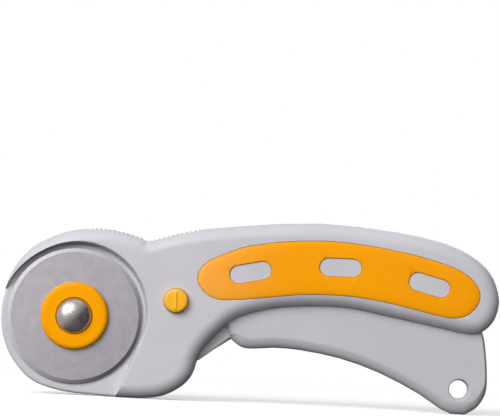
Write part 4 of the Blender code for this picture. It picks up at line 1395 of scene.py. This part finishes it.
@dataclass
class RearClamp:
    """The washers and the nut that clamp the blade stack from the rear."""

    plan: Plan = PLAN
    washer_radius: float = 9.0 * MM
    washer_top: float = -5.5 * MM
    washer_thickness: float = 0.6 * MM
    wave_thickness: float = 0.3 * MM
    wave_height: float = 0.3 * MM
    knob_radius: float = 11.0 * MM
    knob_top: float = -7.6 * MM
    knob_face: float = -12.3 * MM
    scallops: int = 12
    scallop_depth: float = 0.55 * MM
    insert_radius: float = 5.2 * MM

    def flat_washer(self) -> bpy.types.Mesh:
        """The thrust washer behind the lever's eye.

        Returns:
            The closed mesh.
        """
        bore, edge = self.plan.axle_radius + self.plan.gap, 0.12 * MM
        bottom = self.washer_top - self.washer_thickness
        profile = rounded_profile([(bore, self.washer_top, edge),
                                   (self.washer_radius, self.washer_top, edge),
                                   (self.washer_radius, bottom, edge), (bore, bottom, edge)], 3)
        return turned("flat_washer", self.plan.blade, profile, 96)

    def spring_washer(self) -> bpy.types.Mesh:
        """The waved washer, three waves round.

        Returns:
            The closed mesh.
        """
        bore, rim = self.plan.axle_radius + self.plan.gap, self.washer_radius - self.plan.gap
        crest = self.washer_top - self.washer_thickness - self.plan.gap - self.wave_height
        bottom, edge = crest - self.wave_thickness, 0.05 * MM
        profile = rounded_profile([(bore, crest, edge), (rim, crest, edge), (rim, bottom, edge),
                                   (bore, bottom, edge)], 2)
        made = turned("spring_washer", self.plan.blade, profile, 144)
        for vertex in made.vertices:
            vertex.co.z += self.wave_height * math.cos(3 * math.atan2(vertex.co.y, vertex.co.x))
        return made

    def knob(self) -> bpy.types.Mesh:
        """The scalloped knob, with a dished face and a socket for its insert.

        Returns:
            The closed mesh.
        """
        count = self.scallops * 16
        depth = self.scallop_depth / 2
        waves = [math.cos(math.tau * self.scallops * i / count) for i in range(count)]
        rim = [self.knob_radius - depth + depth * wave for wave in waves]
        outline = [polar(self.plan.blade, radius, math.tau * i / count) for i, radius in enumerate(rim)]
        edge, face = 1.0 * MM, -self.knob_face
        rings = [(0.3 * MM, -self.knob_top), (0.0, -self.knob_top + 0.3 * MM), *rounding(edge, face, 6)]
        dish = [(0.0, face + MM), (8.3 * MM, face + MM), (8.3 * MM, face - 0.02 * MM),
                (7.7 * MM, face - 0.5 * MM),
                (0.0, face - 0.5 * MM)]
        shoulder = face - 1.3 * MM
        blank = Blank(lofted("clamp_knob", outline, rings))
        blank.cut(
            turned("knob_dish", self.plan.blade, dish, 96),
            disc("knob_socket", self.plan.blade, -self.knob_top - MM, shoulder,
                 self.insert_radius + 0.1 * MM),
            disc("knob_hole", self.plan.blade, 0.0, face + 2 * MM, self.plan.axle_radius + 0.6 * MM),
        )
        return mirrored(blank.finished())

    def insert(self) -> bpy.types.Mesh:
        """The threaded brass insert.

        Returns:
            The closed mesh.
        """
        bore, bottom = self.plan.axle_radius + 0.15 * MM, self.knob_face + 1.6 * MM
        profile = rounded_profile([(bore, self.knob_top, 0.2 * MM),
                                   (self.insert_radius, self.knob_top, 0.15 * MM),
                                   (self.insert_radius, bottom, 0.15 * MM), (bore, bottom, 0.2 * MM)], 3)
        return turned("knob_insert", self.plan.blade, profile, 96)

    def build(self, shop: Workshop, finishes: "FinishBook") -> None:
        """Makes the washers, the knob and its insert.

        Args:
            shop: The workshop that places them.
            finishes: The finishes to dress them in.
        """
        axis = self.plan.blade
        finishes.wire.dress(shop.place(self.flat_washer(), axis, Body.WASHERS, Slot.SPRING,
                                       "thrust_washer"))
        finishes.wire.dress(shop.place(self.spring_washer(), axis, Body.WASHERS, Slot.SPRING,
                                       "wave_washer"))
        finishes.orange.dress(shop.place(self.knob(), axis, Body.NUT, Slot.ORANGE, "nut_knob"))
        finishes.brass.dress(shop.place(self.insert(), axis, Body.NUT, Slot.BRASS, "nut_insert"))


# --------------------------------------------------------------------------------------------------
# Shader groups
# --------------------------------------------------------------------------------------------------


class Graph:
    """A node tree with short calls for adding and joining nodes."""

    def __init__(self, tree: bpy.types.NodeTree) -> None:
        """Wraps a tree."""
        self.tree = tree

    def node(self, kind: str, inputs: dict[Any, Any] | None = None, **settings: Any) -> bpy.types.Node:
        """Adds a node.

        Args:
            kind: The node's type.
            inputs: Socket name or number to a value or to the socket that feeds it.
            settings: The node's own properties.

        Returns:
            The node.
        """
        made = self.tree.nodes.new(kind)
        for name, value in settings.items():
            setattr(made, name, value)
        for key, value in (inputs or {}).items():
            if isinstance(value, bpy.types.NodeSocket):
                self.tree.links.new(value, made.inputs[key])
            else:
                made.inputs[key].default_value = value
        return made

    def math(self, operation: str, *values: Any, clamp: bool = False) -> bpy.types.NodeSocket:
        """The result of a Math node."""
        return self.node("ShaderNodeMath", dict(enumerate(values)), operation=operation,
                         use_clamp=clamp).outputs[0]

    def noise(self, vector: Any, scale: Any, detail: float = 3.0,
              roughness: float = 0.55) -> bpy.types.NodeSocket:
        """The value of a Noise Texture."""
        inputs = {"Vector": vector, "Scale": scale, "Detail": detail, "Roughness": roughness}
        return self.node("ShaderNodeTexNoise", inputs).outputs[0]

    def span(self, value: Any, low: float, high: float, to_low: float = 0.0,
             to_high: float = 1.0) -> bpy.types.NodeSocket:
        """A value carried from one range to another, clamped."""
        inputs = {"Value": value, "From Min": low, "From Max": high, "To Min": to_low, "To Max": to_high}
        return self.node("ShaderNodeMapRange", inputs).outputs[0]

    def blend(self, share: Any, first: Any, second: Any) -> bpy.types.NodeSocket:
        """Two colours mixed by a share.

        Args:
            share: How much of the second colour shows.
            first: The first colour, or its socket.
            second: The second colour, or its socket.

        Returns:
            The mixed colour.
        """
        mix = self.node("ShaderNodeMix", data_type="RGBA")
        for key, value in ((0, share), (6, first), (7, second)):
            if isinstance(value, bpy.types.NodeSocket):
                self.tree.links.new(value, mix.inputs[key])
            else:
                mix.inputs[key].default_value = value
        return mix.outputs[2]

    def bump(self, height: Any, strength: float, distance: float,
             normal: Any = None) -> bpy.types.NodeSocket:
        """The normal of a Bump node.

        Args:
            height: The height's socket.
            strength: How strong the relief is.
            distance: How high it is, in metres.
            normal: The normal that it is laid over.

        Returns:
            The normal.
        """
        inputs = {"Height": height, "Strength": strength, "Distance": distance}
        if normal is not None:
            inputs["Normal"] = normal
        return self.node("ShaderNodeBump", inputs).outputs[0]


Wiring = Callable[[Graph, bpy.types.Node], dict[str, Any]]


def group(name: str, inputs: dict[str, tuple[str, Any]], outputs: Sequence[str],
          wire: Wiring) -> bpy.types.NodeTree:
    """A shader node group with named sockets.

    Args:
        name: The group's name.
        inputs: Socket name to its type, Float, Vector or Color, and its default.
        outputs: The names of its value outputs.
        wire: Builds the inside, and returns output name to the socket that feeds it.

    Returns:
        The group.
    """
    tree = bpy.data.node_groups.new(name, "ShaderNodeTree")
    for label, (kind, default) in inputs.items():
        socket = tree.interface.new_socket(label, in_out="INPUT", socket_type=f"NodeSocket{kind}")
        if kind == "Float":
            socket.default_value = default
    for label in outputs:
        tree.interface.new_socket(label, in_out="OUTPUT", socket_type="NodeSocketFloat")
    graph = Graph(tree)
    made = wire(graph, graph.node("NodeGroupInput"))
    end = graph.node("NodeGroupOutput")
    for label, socket in made.items():
        tree.links.new(socket, end.inputs[label])
    return tree


@functools.cache
def mould_grain() -> bpy.types.NodeTree:
    """The fine texture of a moulded face: its height, and slow drifts in tone.

    Returns:
        The group, with a height and a drift.
    """

    def wire(graph: Graph, given: bpy.types.Node) -> dict[str, Any]:
        """Mixes fine cells, finer noise and a slow drift.

        Args:
            graph: The group's graph.
            given: The node of its inputs.

        Returns:
            Output name to the socket that feeds it.
        """
        place, scale = given.outputs["Vector"], given.outputs["Scale"]
        cells = graph.node("ShaderNodeTexVoronoi", {"Vector": place, "Scale": scale},
                           feature="SMOOTH_F1").outputs[0]
        fine = graph.noise(place, graph.math("MULTIPLY", scale, 2.3), 2.0)
        height = graph.math("ADD", graph.math("MULTIPLY", cells, 0.6), graph.math("MULTIPLY", fine, 0.5))
        drift = graph.span(graph.noise(place, graph.math("MULTIPLY", scale, 0.012), 2.0), 0.3, 0.7)
        return {"Height": height, "Drift": drift}

    sockets = {"Vector": ("Vector", None), "Scale": ("Float", 3000.0)}
    return group("mould_grain", sockets, ("Height", "Drift"), wire)


@functools.cache
def edge_wear() -> bpy.types.NodeTree:
    """Where corners are rubbed, and fine scuffs on the faces between them.

    Returns:
        The group, with a mask of rubbed corners and one of scuffs.
    """

    def wire(graph: Graph, given: bpy.types.Node) -> dict[str, Any]:
        """Breaks the corners up with noise, and thins long noise into scuffs.

        Args:
            graph: The group's graph.
            given: The node of its inputs.

        Returns:
            Output name to the socket that feeds it.
        """
        place, amount = given.outputs["Vector"], given.outputs["Amount"]
        rounded = graph.node("ShaderNodeBevel", {"Radius": 0.25 * MM}, samples=4).outputs[0]
        true = graph.node("ShaderNodeNewGeometry").outputs["Normal"]
        turn = graph.node("ShaderNodeVectorMath", {0: rounded, 1: true},
                          operation="DOT_PRODUCT").outputs["Value"]
        corners = graph.span(turn, 0.995, 0.90)
        rubbed = graph.math("MULTIPLY", corners, graph.span(graph.noise(place, 420.0, 5.0), 0.38, 0.62))
        lines = []
        for turn, stretch in ((0.5, (1.0, 26.0, 26.0)), (2.1, (22.0, 1.0, 22.0))):
            mapped = graph.node("ShaderNodeMapping",
                                {"Vector": place, "Rotation": (0.0, 0.0, turn), "Scale": stretch})
            lines.append(graph.span(graph.noise(mapped.outputs[0], 34.0, 4.0, 0.7), 0.66, 0.74))
        scuffs = graph.math("MAXIMUM", *lines)
        patches = graph.span(graph.noise(place, 30.0, 2.0), 0.48, 0.66)
        return {
            "Rubbed": graph.math("MULTIPLY", rubbed, amount, clamp=True),
            "Scuffs": graph.math("MULTIPLY", graph.math("MULTIPLY", scuffs, patches), amount, clamp=True),
        }

    sockets = {"Vector": ("Vector", None), "Amount": ("Float", 1.0)}
    return group("edge_wear", sockets, ("Rubbed", "Scuffs"), wire)


@functools.cache
def fine_dust() -> bpy.types.NodeTree:
    """A trace of lint on what faces up.

    Returns:
        The group, with a mask of lint.
    """

    def wire(graph: Graph, given: bpy.types.Node) -> dict[str, Any]:
        """Takes the upward faces and breaks them up.

        Args:
            graph: The group's graph.
            given: The node of its inputs.

        Returns:
            Output name to the socket that feeds it.
        """
        geometry = graph.node("ShaderNodeNewGeometry")
        up = graph.node("ShaderNodeSeparateXYZ", {0: geometry.outputs["Normal"]}).outputs[2]
        settled = graph.span(up, 0.2, 1.0)
        specks = graph.span(graph.noise(given.outputs["Vector"], 900.0, 4.0, 0.7), 0.45, 0.75)
        lint = graph.math("MULTIPLY", settled, specks)
        return {"Mask": graph.math("MULTIPLY", lint, given.outputs["Amount"], clamp=True)}

    sockets = {"Vector": ("Vector", None), "Amount": ("Float", 0.3)}
    return group("fine_dust", sockets, ("Mask",), wire)


@functools.cache
def turning_marks() -> bpy.types.NodeTree:
    """Fine rings round a piece's own axis, as a lathe or a rolling mill leaves them.

    Returns:
        The group, with a height and broad streaks.
    """

    def wire(graph: Graph, given: bpy.types.Node) -> dict[str, Any]:
        """Reads noise along the radius, and lets it wander a little round the axis.

        Args:
            graph: The group's graph.
            given: The node of its inputs.

        Returns:
            Output name to the socket that feeds it.
        """
        parts = graph.node("ShaderNodeSeparateXYZ", {0: given.outputs["Vector"]})
        x, y, z = parts.outputs[0], parts.outputs[1], parts.outputs[2]
        radius = graph.math("SQRT", graph.math("ADD", graph.math("MULTIPLY", x, x),
                                               graph.math("MULTIPLY", y, y)))
        angle = graph.math("ARCTAN2", y, x)
        scale = given.outputs["Scale"]
        along = graph.math("MULTIPLY", graph.math("ADD", radius, z), scale)
        wander = graph.math("MULTIPLY", angle, given.outputs["Wander"])
        flat = graph.node("ShaderNodeCombineXYZ", {0: along, 1: wander}).outputs[0]
        rings = graph.noise(flat, 1.0, 4.0, 0.7)
        broad = graph.noise(given.outputs["Vector"], 45.0, 2.0)
        return {"Height": rings, "Streak": graph.span(broad, 0.32, 0.7)}

    sockets = {"Vector": ("Vector", None), "Scale": ("Float", 6000.0), "Wander": ("Float", 0.6)}
    return group("turning_marks", sockets, ("Height", "Streak"), wire)


# --------------------------------------------------------------------------------------------------
# Finishes
# --------------------------------------------------------------------------------------------------

Colour = tuple[float, float, float]


def rgba(colour: Colour, factor: float = 1.0) -> tuple[float, float, float, float]:
    """A colour with its brightness changed, as a shader takes it."""
    return (*(min(1.0, part * factor) for part in colour), 1.0)


@dataclass(frozen=True)
class Finish:
    """What every finish has: a name, a colour and a way to dress a piece."""

    name: str
    colour: Colour

    def material(self) -> bpy.types.Material:
        """The finish's material, made once.

        Returns:
            The material.
        """
        found = bpy.data.materials.get(self.name)
        if found:
            return found
        made = bpy.data.materials.new(self.name)
        made.use_nodes = True
        made.diffuse_color = rgba(self.colour)
        graph = Graph(made.node_tree)
        place = graph.node("ShaderNodeTexCoord").outputs["Object"]
        self.shade(graph, made.node_tree.nodes["Principled BSDF"], place)
        return made

    def shade(self, graph: Graph, shader: bpy.types.Node, place: bpy.types.NodeSocket) -> None:
        """Wires the shader's inputs.

        Args:
            graph: The material's graph.
            shader: Its Principled BSDF.
            place: The piece's own coordinates.
        """
        raise NotImplementedError

    def dress(self, piece: bpy.types.Object) -> None:
        """Gives a piece this finish."""
        piece.data.materials.clear()
        piece.data.materials.append(self.material())


@dataclass(frozen=True)
class MouldedPlastic(Finish):
    """Injection-moulded plastic: fine grain, slow drifts in tone, paled rubbed corners that are partly a
    painted highlight on the button, and a little lint.
    """

    roughness: float = 0.4
    grain_scale: float = 2600.0
    grain_height: float = 0.010
    wear: float = 0.5
    dust: float = 0.15
    specular: float = 0.5
    wear_and_highlight_paleness: float = 0.15

    def shade(self, graph: Graph, shader: bpy.types.Node, place: bpy.types.NodeSocket) -> None:
        """Wires colour, roughness and grain.

        Args:
            graph: The material's graph.
            shader: Its Principled BSDF.
            place: The piece's own coordinates.
        """
        grain = graph.node("ShaderNodeGroup", node_tree=mould_grain())
        wear = graph.node("ShaderNodeGroup", node_tree=edge_wear())
        dust = graph.node("ShaderNodeGroup", node_tree=fine_dust())
        for node in (grain, wear, dust):
            graph.tree.links.new(place, node.inputs["Vector"])
        grain.inputs["Scale"].default_value = self.grain_scale
        wear.inputs["Amount"].default_value = self.wear
        dust.inputs["Amount"].default_value = self.dust
        tone = graph.blend(grain.outputs["Drift"], rgba(self.colour, 0.965), rgba(self.colour, 1.035))
        speck = graph.span(grain.outputs["Height"], 0.25, 0.8, 0.0, 0.06)
        tone = graph.blend(speck, tone, rgba(self.colour, 0.72))
        # Rubbed corners are paled: real wear, and on the button, where wear and paleness are set high, also
        # a painted highlight on its rib and face edges.
        pale = rgba(tuple(part + (1 - part) * self.wear_and_highlight_paleness for part in self.colour))
        tone = graph.blend(graph.math("MULTIPLY", wear.outputs["Rubbed"], 0.6), tone, pale)
        tone = graph.blend(dust.outputs["Mask"], tone, (0.74, 0.73, 0.71, 1.0))
        rough = graph.math("ADD", self.roughness, graph.math("MULTIPLY", grain.outputs["Drift"], 0.05))
        rough = graph.math("ADD", rough, graph.math("MULTIPLY", wear.outputs["Scuffs"], 0.10))
        rough = graph.math("SUBTRACT", rough, graph.math("MULTIPLY", wear.outputs["Rubbed"], 0.08),
                           clamp=True)
        height = graph.math("SUBTRACT", grain.outputs["Height"],
                            graph.math("MULTIPLY", wear.outputs["Scuffs"], 0.5))
        normal = graph.bump(height, 0.35, self.grain_height * MM)
        graph.tree.links.new(tone, shader.inputs["Base Color"])
        graph.tree.links.new(rough, shader.inputs["Roughness"])
        graph.tree.links.new(normal, shader.inputs["Normal"])
        shader.inputs["Specular IOR Level"].default_value = self.specular


@dataclass(frozen=True)
class SoftRubber(Finish):
    """A soft over-moulded elastomer: a velvety face with a fine stipple, faint handling marks in its
    roughness, and a painted highlight on its left end.
    """

    stipple_scale: float = 1500.0
    # Where the painted highlight on the inlay's left end is full, and where it has faded out.
    painted_highlight_from: float = 42 * MM
    painted_highlight_to: float = 72 * MM

    def shade(self, graph: Graph, shader: bpy.types.Node, place: bpy.types.NodeSocket) -> None:
        """Wires colour, roughness and stipple.

        Args:
            graph: The material's graph.
            shader: Its Principled BSDF.
            place: The piece's own coordinates.
        """
        grain = graph.node("ShaderNodeGroup", node_tree=mould_grain())
        wear = graph.node("ShaderNodeGroup", node_tree=edge_wear())
        dust = graph.node("ShaderNodeGroup", node_tree=fine_dust())
        for node in (grain, wear, dust):
            graph.tree.links.new(place, node.inputs["Vector"])
        grain.inputs["Scale"].default_value = self.stipple_scale
        wear.inputs["Amount"].default_value = 0.6
        dust.inputs["Amount"].default_value = 0.12
        tone = graph.blend(grain.outputs["Drift"], rgba(self.colour, 0.94), rgba(self.colour, 1.03))
        polish = graph.span(graph.noise(place, 55.0, 3.0), 0.42, 0.68)
        # Painted highlight: the tone turns a paler orange towards the inlay's left end, where the crowned
        # face turns to the key light; a faint share of the polish noise is added to it.
        along = graph.node("ShaderNodeSeparateXYZ", {0: place}).outputs[0]
        painted_left_end_highlight = graph.math("POWER", graph.span(along, self.painted_highlight_to, self.painted_highlight_from), 1.6)
        highlight_and_polish_share = graph.math("ADD", graph.math("MULTIPLY", painted_left_end_highlight, 0.5), graph.math("MULTIPLY", polish, 0.04))
        tone = graph.blend(highlight_and_polish_share, tone, (1.0, 0.46, 0.11, 1.0))
        tone = graph.blend(dust.outputs["Mask"], tone, (0.9, 0.72, 0.5, 1.0))
        rough = graph.math("SUBTRACT", 0.52, graph.math("MULTIPLY", polish, 0.10))
        rough = graph.math("ADD", rough, graph.math("MULTIPLY", wear.outputs["Scuffs"], 0.12), clamp=True)
        normal = graph.bump(grain.outputs["Height"], 0.5, 0.022 * MM)
        graph.tree.links.new(tone, shader.inputs["Base Color"])
        graph.tree.links.new(rough, shader.inputs["Roughness"])
        graph.tree.links.new(normal, shader.inputs["Normal"])
        shader.inputs["Specular IOR Level"].default_value = 0.10


@dataclass(frozen=True)
class WorkedMetal(Finish):
    """Turned, rolled or drawn metal with marks round the piece's axis."""

    roughness: float = 0.3
    mark_scale: float = 9000.0
    mark_height: float = 0.004
    stain: float = 0.1
    wander: float = 0.6
    pits: float = 0.0
    oxide: float = 0.0

    def shade(self, graph: Graph, shader: bpy.types.Node, place: bpy.types.NodeSocket) -> None:
        """Wires colour, roughness and marks.

        Args:
            graph: The material's graph.
            shader: Its Principled BSDF.
            place: The piece's own coordinates.
        """
        marks = graph.node("ShaderNodeGroup", node_tree=turning_marks())
        wear = graph.node("ShaderNodeGroup", node_tree=edge_wear())
        for node in (marks, wear):
            graph.tree.links.new(place, node.inputs["Vector"])
        marks.inputs["Scale"].default_value = self.mark_scale
        marks.inputs["Wander"].default_value = self.wander
        clouds = graph.span(graph.noise(place, 320.0, 5.0, 0.65), 0.35, 0.72)
        dull = graph.math("MULTIPLY", graph.math("ADD", marks.outputs["Streak"], clouds), self.stain,
                          clamp=True)
        tone = graph.blend(dull, rgba(self.colour), rgba(self.colour, 0.45))
        tone = graph.blend(graph.math("MULTIPLY", wear.outputs["Rubbed"], 0.5), tone,
                           rgba(self.colour, 1.3))
        ringed = graph.math("MULTIPLY", graph.math("SUBTRACT", marks.outputs["Height"], 0.5), 0.18)
        rough = graph.math("ADD", graph.math("ADD", self.roughness, ringed),
                           graph.math("MULTIPLY", clouds, 0.08))
        rough = graph.math("ADD", rough, graph.math("MULTIPLY", wear.outputs["Scuffs"], 0.15), clamp=True)
        height = graph.math("SUBTRACT", marks.outputs["Height"],
                            graph.math("MULTIPLY", wear.outputs["Scuffs"], 0.8))
        normal = graph.bump(height, 0.4, self.mark_height * MM)
        if self.pits > 0:
            pitted = graph.span(graph.noise(place, 2400.0, 3.0, 0.7), 0.3, 0.62)
            normal = graph.bump(pitted, 0.5, self.pits * MM, normal)
            tone = graph.blend(graph.span(pitted, 0.5, 0.0, 0.0, 0.35), tone, rgba(self.colour, 0.3))
        graph.tree.links.new(tone, shader.inputs["Base Color"])
        graph.tree.links.new(rough, shader.inputs["Roughness"])
        graph.tree.links.new(normal, shader.inputs["Normal"])
        shader.inputs["Metallic"].default_value = 1.0
        if self.oxide > 0:
            metal = graph.math("SUBTRACT", 1.0, graph.math("MULTIPLY", clouds, self.oxide), clamp=True)
            graph.tree.links.new(metal, shader.inputs["Metallic"])


@dataclass(frozen=True)
class GroundSteel(WorkedMetal):
    """The blade's steel: a soft ground face, and a bevel that is polished brighter."""

    bevel_start: float = 21.35 * MM

    def shade(self, graph: Graph, shader: bpy.types.Node, place: bpy.types.NodeSocket) -> None:
        """Wires the worked metal, then polishes the bevel outside its radius.

        Args:
            graph: The material's graph.
            shader: Its Principled BSDF.
            place: The piece's own coordinates.
        """
        super().shade(graph, shader, place)
        links = graph.tree.links
        parts = graph.node("ShaderNodeSeparateXYZ", {0: place})
        x, y = parts.outputs[0], parts.outputs[1]
        radius = graph.math("SQRT", graph.math("ADD", graph.math("MULTIPLY", x, x),
                                               graph.math("MULTIPLY", y, y)))
        bevel = graph.span(radius, self.bevel_start, self.bevel_start + 0.05 * MM)
        tone = shader.inputs["Base Color"].links[0].from_socket
        rough = shader.inputs["Roughness"].links[0].from_socket
        links.new(graph.blend(bevel, tone, rgba((0.80, 0.79, 0.82))), shader.inputs["Base Color"])
        softer = graph.math("SUBTRACT", 1.0, graph.math("MULTIPLY", bevel, 0.72))
        links.new(graph.math("MULTIPLY", rough, softer, clamp=True), shader.inputs["Roughness"])


@dataclass(frozen=True)
class FinishBook:
    """All the finishes of the cutter."""

    body: Finish = MouldedPlastic("satin_grey_plastic", (0.575, 0.57, 0.61), roughness=0.40)
    trigger: Finish = MouldedPlastic("satin_trigger_plastic", (0.56, 0.555, 0.585), roughness=0.42)
    rubber: Finish = SoftRubber("orange_grip_rubber", (1.0, 0.365, 0.0))
    orange: Finish = MouldedPlastic("glossy_orange_plastic", (1.0, 0.385, 0.0), roughness=0.32, dust=0.0,
                                    wear=0.9,
                                    grain_height=0.006, specular=0.06, wear_and_highlight_paleness=0.3)
    # The button is a lighter copy of the orange plastic with strongly paled corners: partly real rubbed
    # wear, partly a painted highlight on its face and rib.
    button: Finish = MouldedPlastic("glossy_button_plastic", (1.0, 0.48, 0.015), roughness=0.36, dust=0.0,
                                    wear=1.4,
                                    grain_height=0.006, specular=0.45, wear_and_highlight_paleness=0.45)
    blade: Finish = GroundSteel("ground_blade_steel", (0.545, 0.51, 0.55), roughness=0.34, stain=0.08)
    dome: Finish = WorkedMetal("tumbled_bolt_steel", (0.60, 0.53, 0.51), roughness=0.23, stain=0.6,
                               pits=0.035,
                               oxide=0.42)
    steel: Finish = WorkedMetal("zinc_steel", (0.62, 0.62, 0.62), roughness=0.32, stain=0.15)
    wire: Finish = WorkedMetal("spring_wire_steel", (0.42, 0.42, 0.43), roughness=0.28, stain=0.2)
    brass: Finish = WorkedMetal("turned_brass", (0.78, 0.57, 0.27), roughness=0.28, stain=0.12)


# --------------------------------------------------------------------------------------------------
# Studio
# --------------------------------------------------------------------------------------------------


@dataclass
class Studio:
    """The pale floor, the soft lights and the camera."""

    distance: float = 0.8
    view_width: float = 166.7 * MM
    aim: tuple[float, float, float] = (58.55 * MM, 35.85 * MM, 8.0 * MM)
    stand: Point = (63.0 * MM, -8.0 * MM)
    sensor: float = 36.0
    floor_radius: float = 0.5
    floor_glow: float = 0.34
    lamp_aim: float = 30 * MM
    lamps: tuple = (
        ("key_softbox", (-0.69, -1.01, 0.67), 0.95, 16.2, (1.0, 1.0, 1.0)),
        ("front_softbox", (0.05, -1.40, 0.48), 0.50, 4.3, (1.0, 1.0, 1.0)),
        ("fill_softbox", (0.85, -0.80, 0.15), 0.90, 0.5, (0.97, 0.98, 1.0)),
        ("top_softbox", (0.05, 0.05, 1.15), 1.00, 1.2, (1.0, 1.0, 1.0)),
        ("back_softbox", (0.45, 1.00, 0.60), 0.80, 2.6, (1.0, 0.99, 0.98)),
    )

    def floor(self) -> None:
        """A pale round floor that thins out towards its rim."""
        shape = bmesh.new()
        bmesh.ops.create_circle(shape, cap_ends=True, segments=96, radius=self.floor_radius)
        floor = bpy.data.objects.new("studio_floor", mesh_from("studio_floor", shape))
        bpy.context.scene.collection.objects.link(floor)
        floor.location.z = -0.05 * MM
        material = bpy.data.materials.new("pale_floor")
        material.use_nodes = True
        graph = Graph(material.node_tree)
        shader = material.node_tree.nodes["Principled BSDF"]
        place = graph.node("ShaderNodeTexCoord").outputs["Object"]
        away = graph.node("ShaderNodeVectorMath", {0: place}, operation="LENGTH").outputs["Value"]
        solid = graph.span(away, self.floor_radius * 0.9, self.floor_radius * 0.22)
        tone = graph.blend(graph.noise(place, 6.0), (0.955, 0.955, 0.955, 1.0), (0.975, 0.975, 0.975, 1.0))
        graph.tree.links.new(tone, shader.inputs["Base Color"])
        graph.tree.links.new(solid, shader.inputs["Alpha"])
        graph.tree.links.new(tone, shader.inputs["Emission Color"])
        shader.inputs["Emission Strength"].default_value = self.floor_glow
        shader.inputs["Roughness"].default_value = 0.7
        shader.inputs["Specular IOR Level"].default_value = 0.1
        floor.data.materials.append(material)
        floor.visible_diffuse = False
        floor.visible_glossy = False

    @staticmethod
    def choose(graph: Graph, share: bpy.types.NodeSocket, first: Any, second: Any) -> bpy.types.NodeSocket:
        """Two values mixed by a share."""
        return graph.node("ShaderNodeMix", {0: share, 2: first, 3: second}, data_type="FLOAT").outputs[0]

    def light(self) -> None:
        """Five soft boxes, and a room that is white behind the cutter and darker low on the right."""
        for name, place, size, power, colour in self.lamps:
            data = bpy.data.lights.new(name, "AREA")
            data.shape = "DISK"
            data.size = size
            data.energy = power
            data.color = colour
            lamp = bpy.data.objects.new(name, data)
            bpy.context.scene.collection.objects.link(lamp)
            lamp.location = place
            aim = Vector((0.0, 0.0, self.lamp_aim)) - Vector(place)
            lamp.rotation_euler = aim.to_track_quat("-Z", "Y").to_euler()
            lamp.visible_camera = False
            lamp.visible_glossy = name not in ("fill_softbox", "front_softbox")
        world = bpy.data.worlds.new("studio_room")
        bpy.context.scene.world = world
        world.use_nodes = True
        graph = Graph(world.node_tree)
        world.node_tree.nodes.clear()
        way = graph.node("ShaderNodeTexCoord").outputs["Generated"]
        above = graph.node("ShaderNodeVectorMath", {0: way, 1: (-0.45, -0.25, 0.86)},
                           operation="DOT_PRODUCT")
        soft = graph.span(above.outputs["Value"], -0.8, 0.8, 0.03, 0.24)
        aside = graph.node("ShaderNodeVectorMath", {0: way, 1: (-0.72, 0.0, 0.69)}, operation="DOT_PRODUCT")
        mirrored_glow = graph.span(aside.outputs["Value"], -0.21, 0.32, 0.05, 0.88)
        path = graph.node("ShaderNodeLightPath")
        strength = self.choose(graph, path.outputs["Is Glossy Ray"], soft, mirrored_glow)
        strength = self.choose(graph, path.outputs["Is Camera Ray"], strength, 1.0)
        back = graph.node("ShaderNodeBackground", {"Color": (1.0, 1.0, 1.0, 1.0), "Strength": strength})
        graph.node("ShaderNodeOutputWorld", {"Surface": back.outputs[0]})
        bpy.context.scene.view_settings.view_transform = "Standard"

    def camera(self, shop: Workshop) -> None:
        """A long lens almost square to the cutter's front face, a little below the handle.

        Args:
            shop: The workshop, which knows how the design frame leans.
        """
        data = bpy.data.cameras.new("camera")
        data.sensor_width = self.sensor
        data.lens = self.sensor * self.distance / self.view_width
        data.clip_end = 20.0
        camera = bpy.data.objects.new("camera", data)
        bpy.context.scene.collection.objects.link(camera)
        aim = Vector(self.aim)
        back = (Vector((*self.stand, aim.z + self.distance)) - aim).normalized()
        right = Vector((0.0, 1.0, 0.0)).cross(back).normalized()
        turn = Matrix((right, back.cross(right), back)).transposed().to_4x4()
        camera.matrix_world = shop.matrix @ Matrix.Translation(aim + back * self.distance) @ turn
        bpy.context.scene.camera = camera

    def build(self, shop: Workshop) -> None:
        """Sets the studio up.

        Args:
            shop: The workshop, which knows how the design frame leans.
        """
        self.floor()
        self.light()
        self.camera(shop)


def main() -> None:
    """Builds the cutter's sub-assemblies and the studio."""
    logging.basicConfig(level=logging.INFO, format="%(name)s: %(message)s")
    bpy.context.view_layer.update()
    shop = Workshop(frame["joints"])
    finishes = FinishBook()
    lever = Lever()
    Studio().build(shop)
    Housing().build(shop, lever, finishes.body, finishes.steel)
    GripInlays().build(shop, finishes.rubber)
    lever.build(shop, finishes.trigger, finishes.wire)
    Lock().build(shop, finishes.button)
    BladeStack().build(shop, finishes)
    RearClamp().build(shop, finishes)


if __name__ == "__main__":
    main()
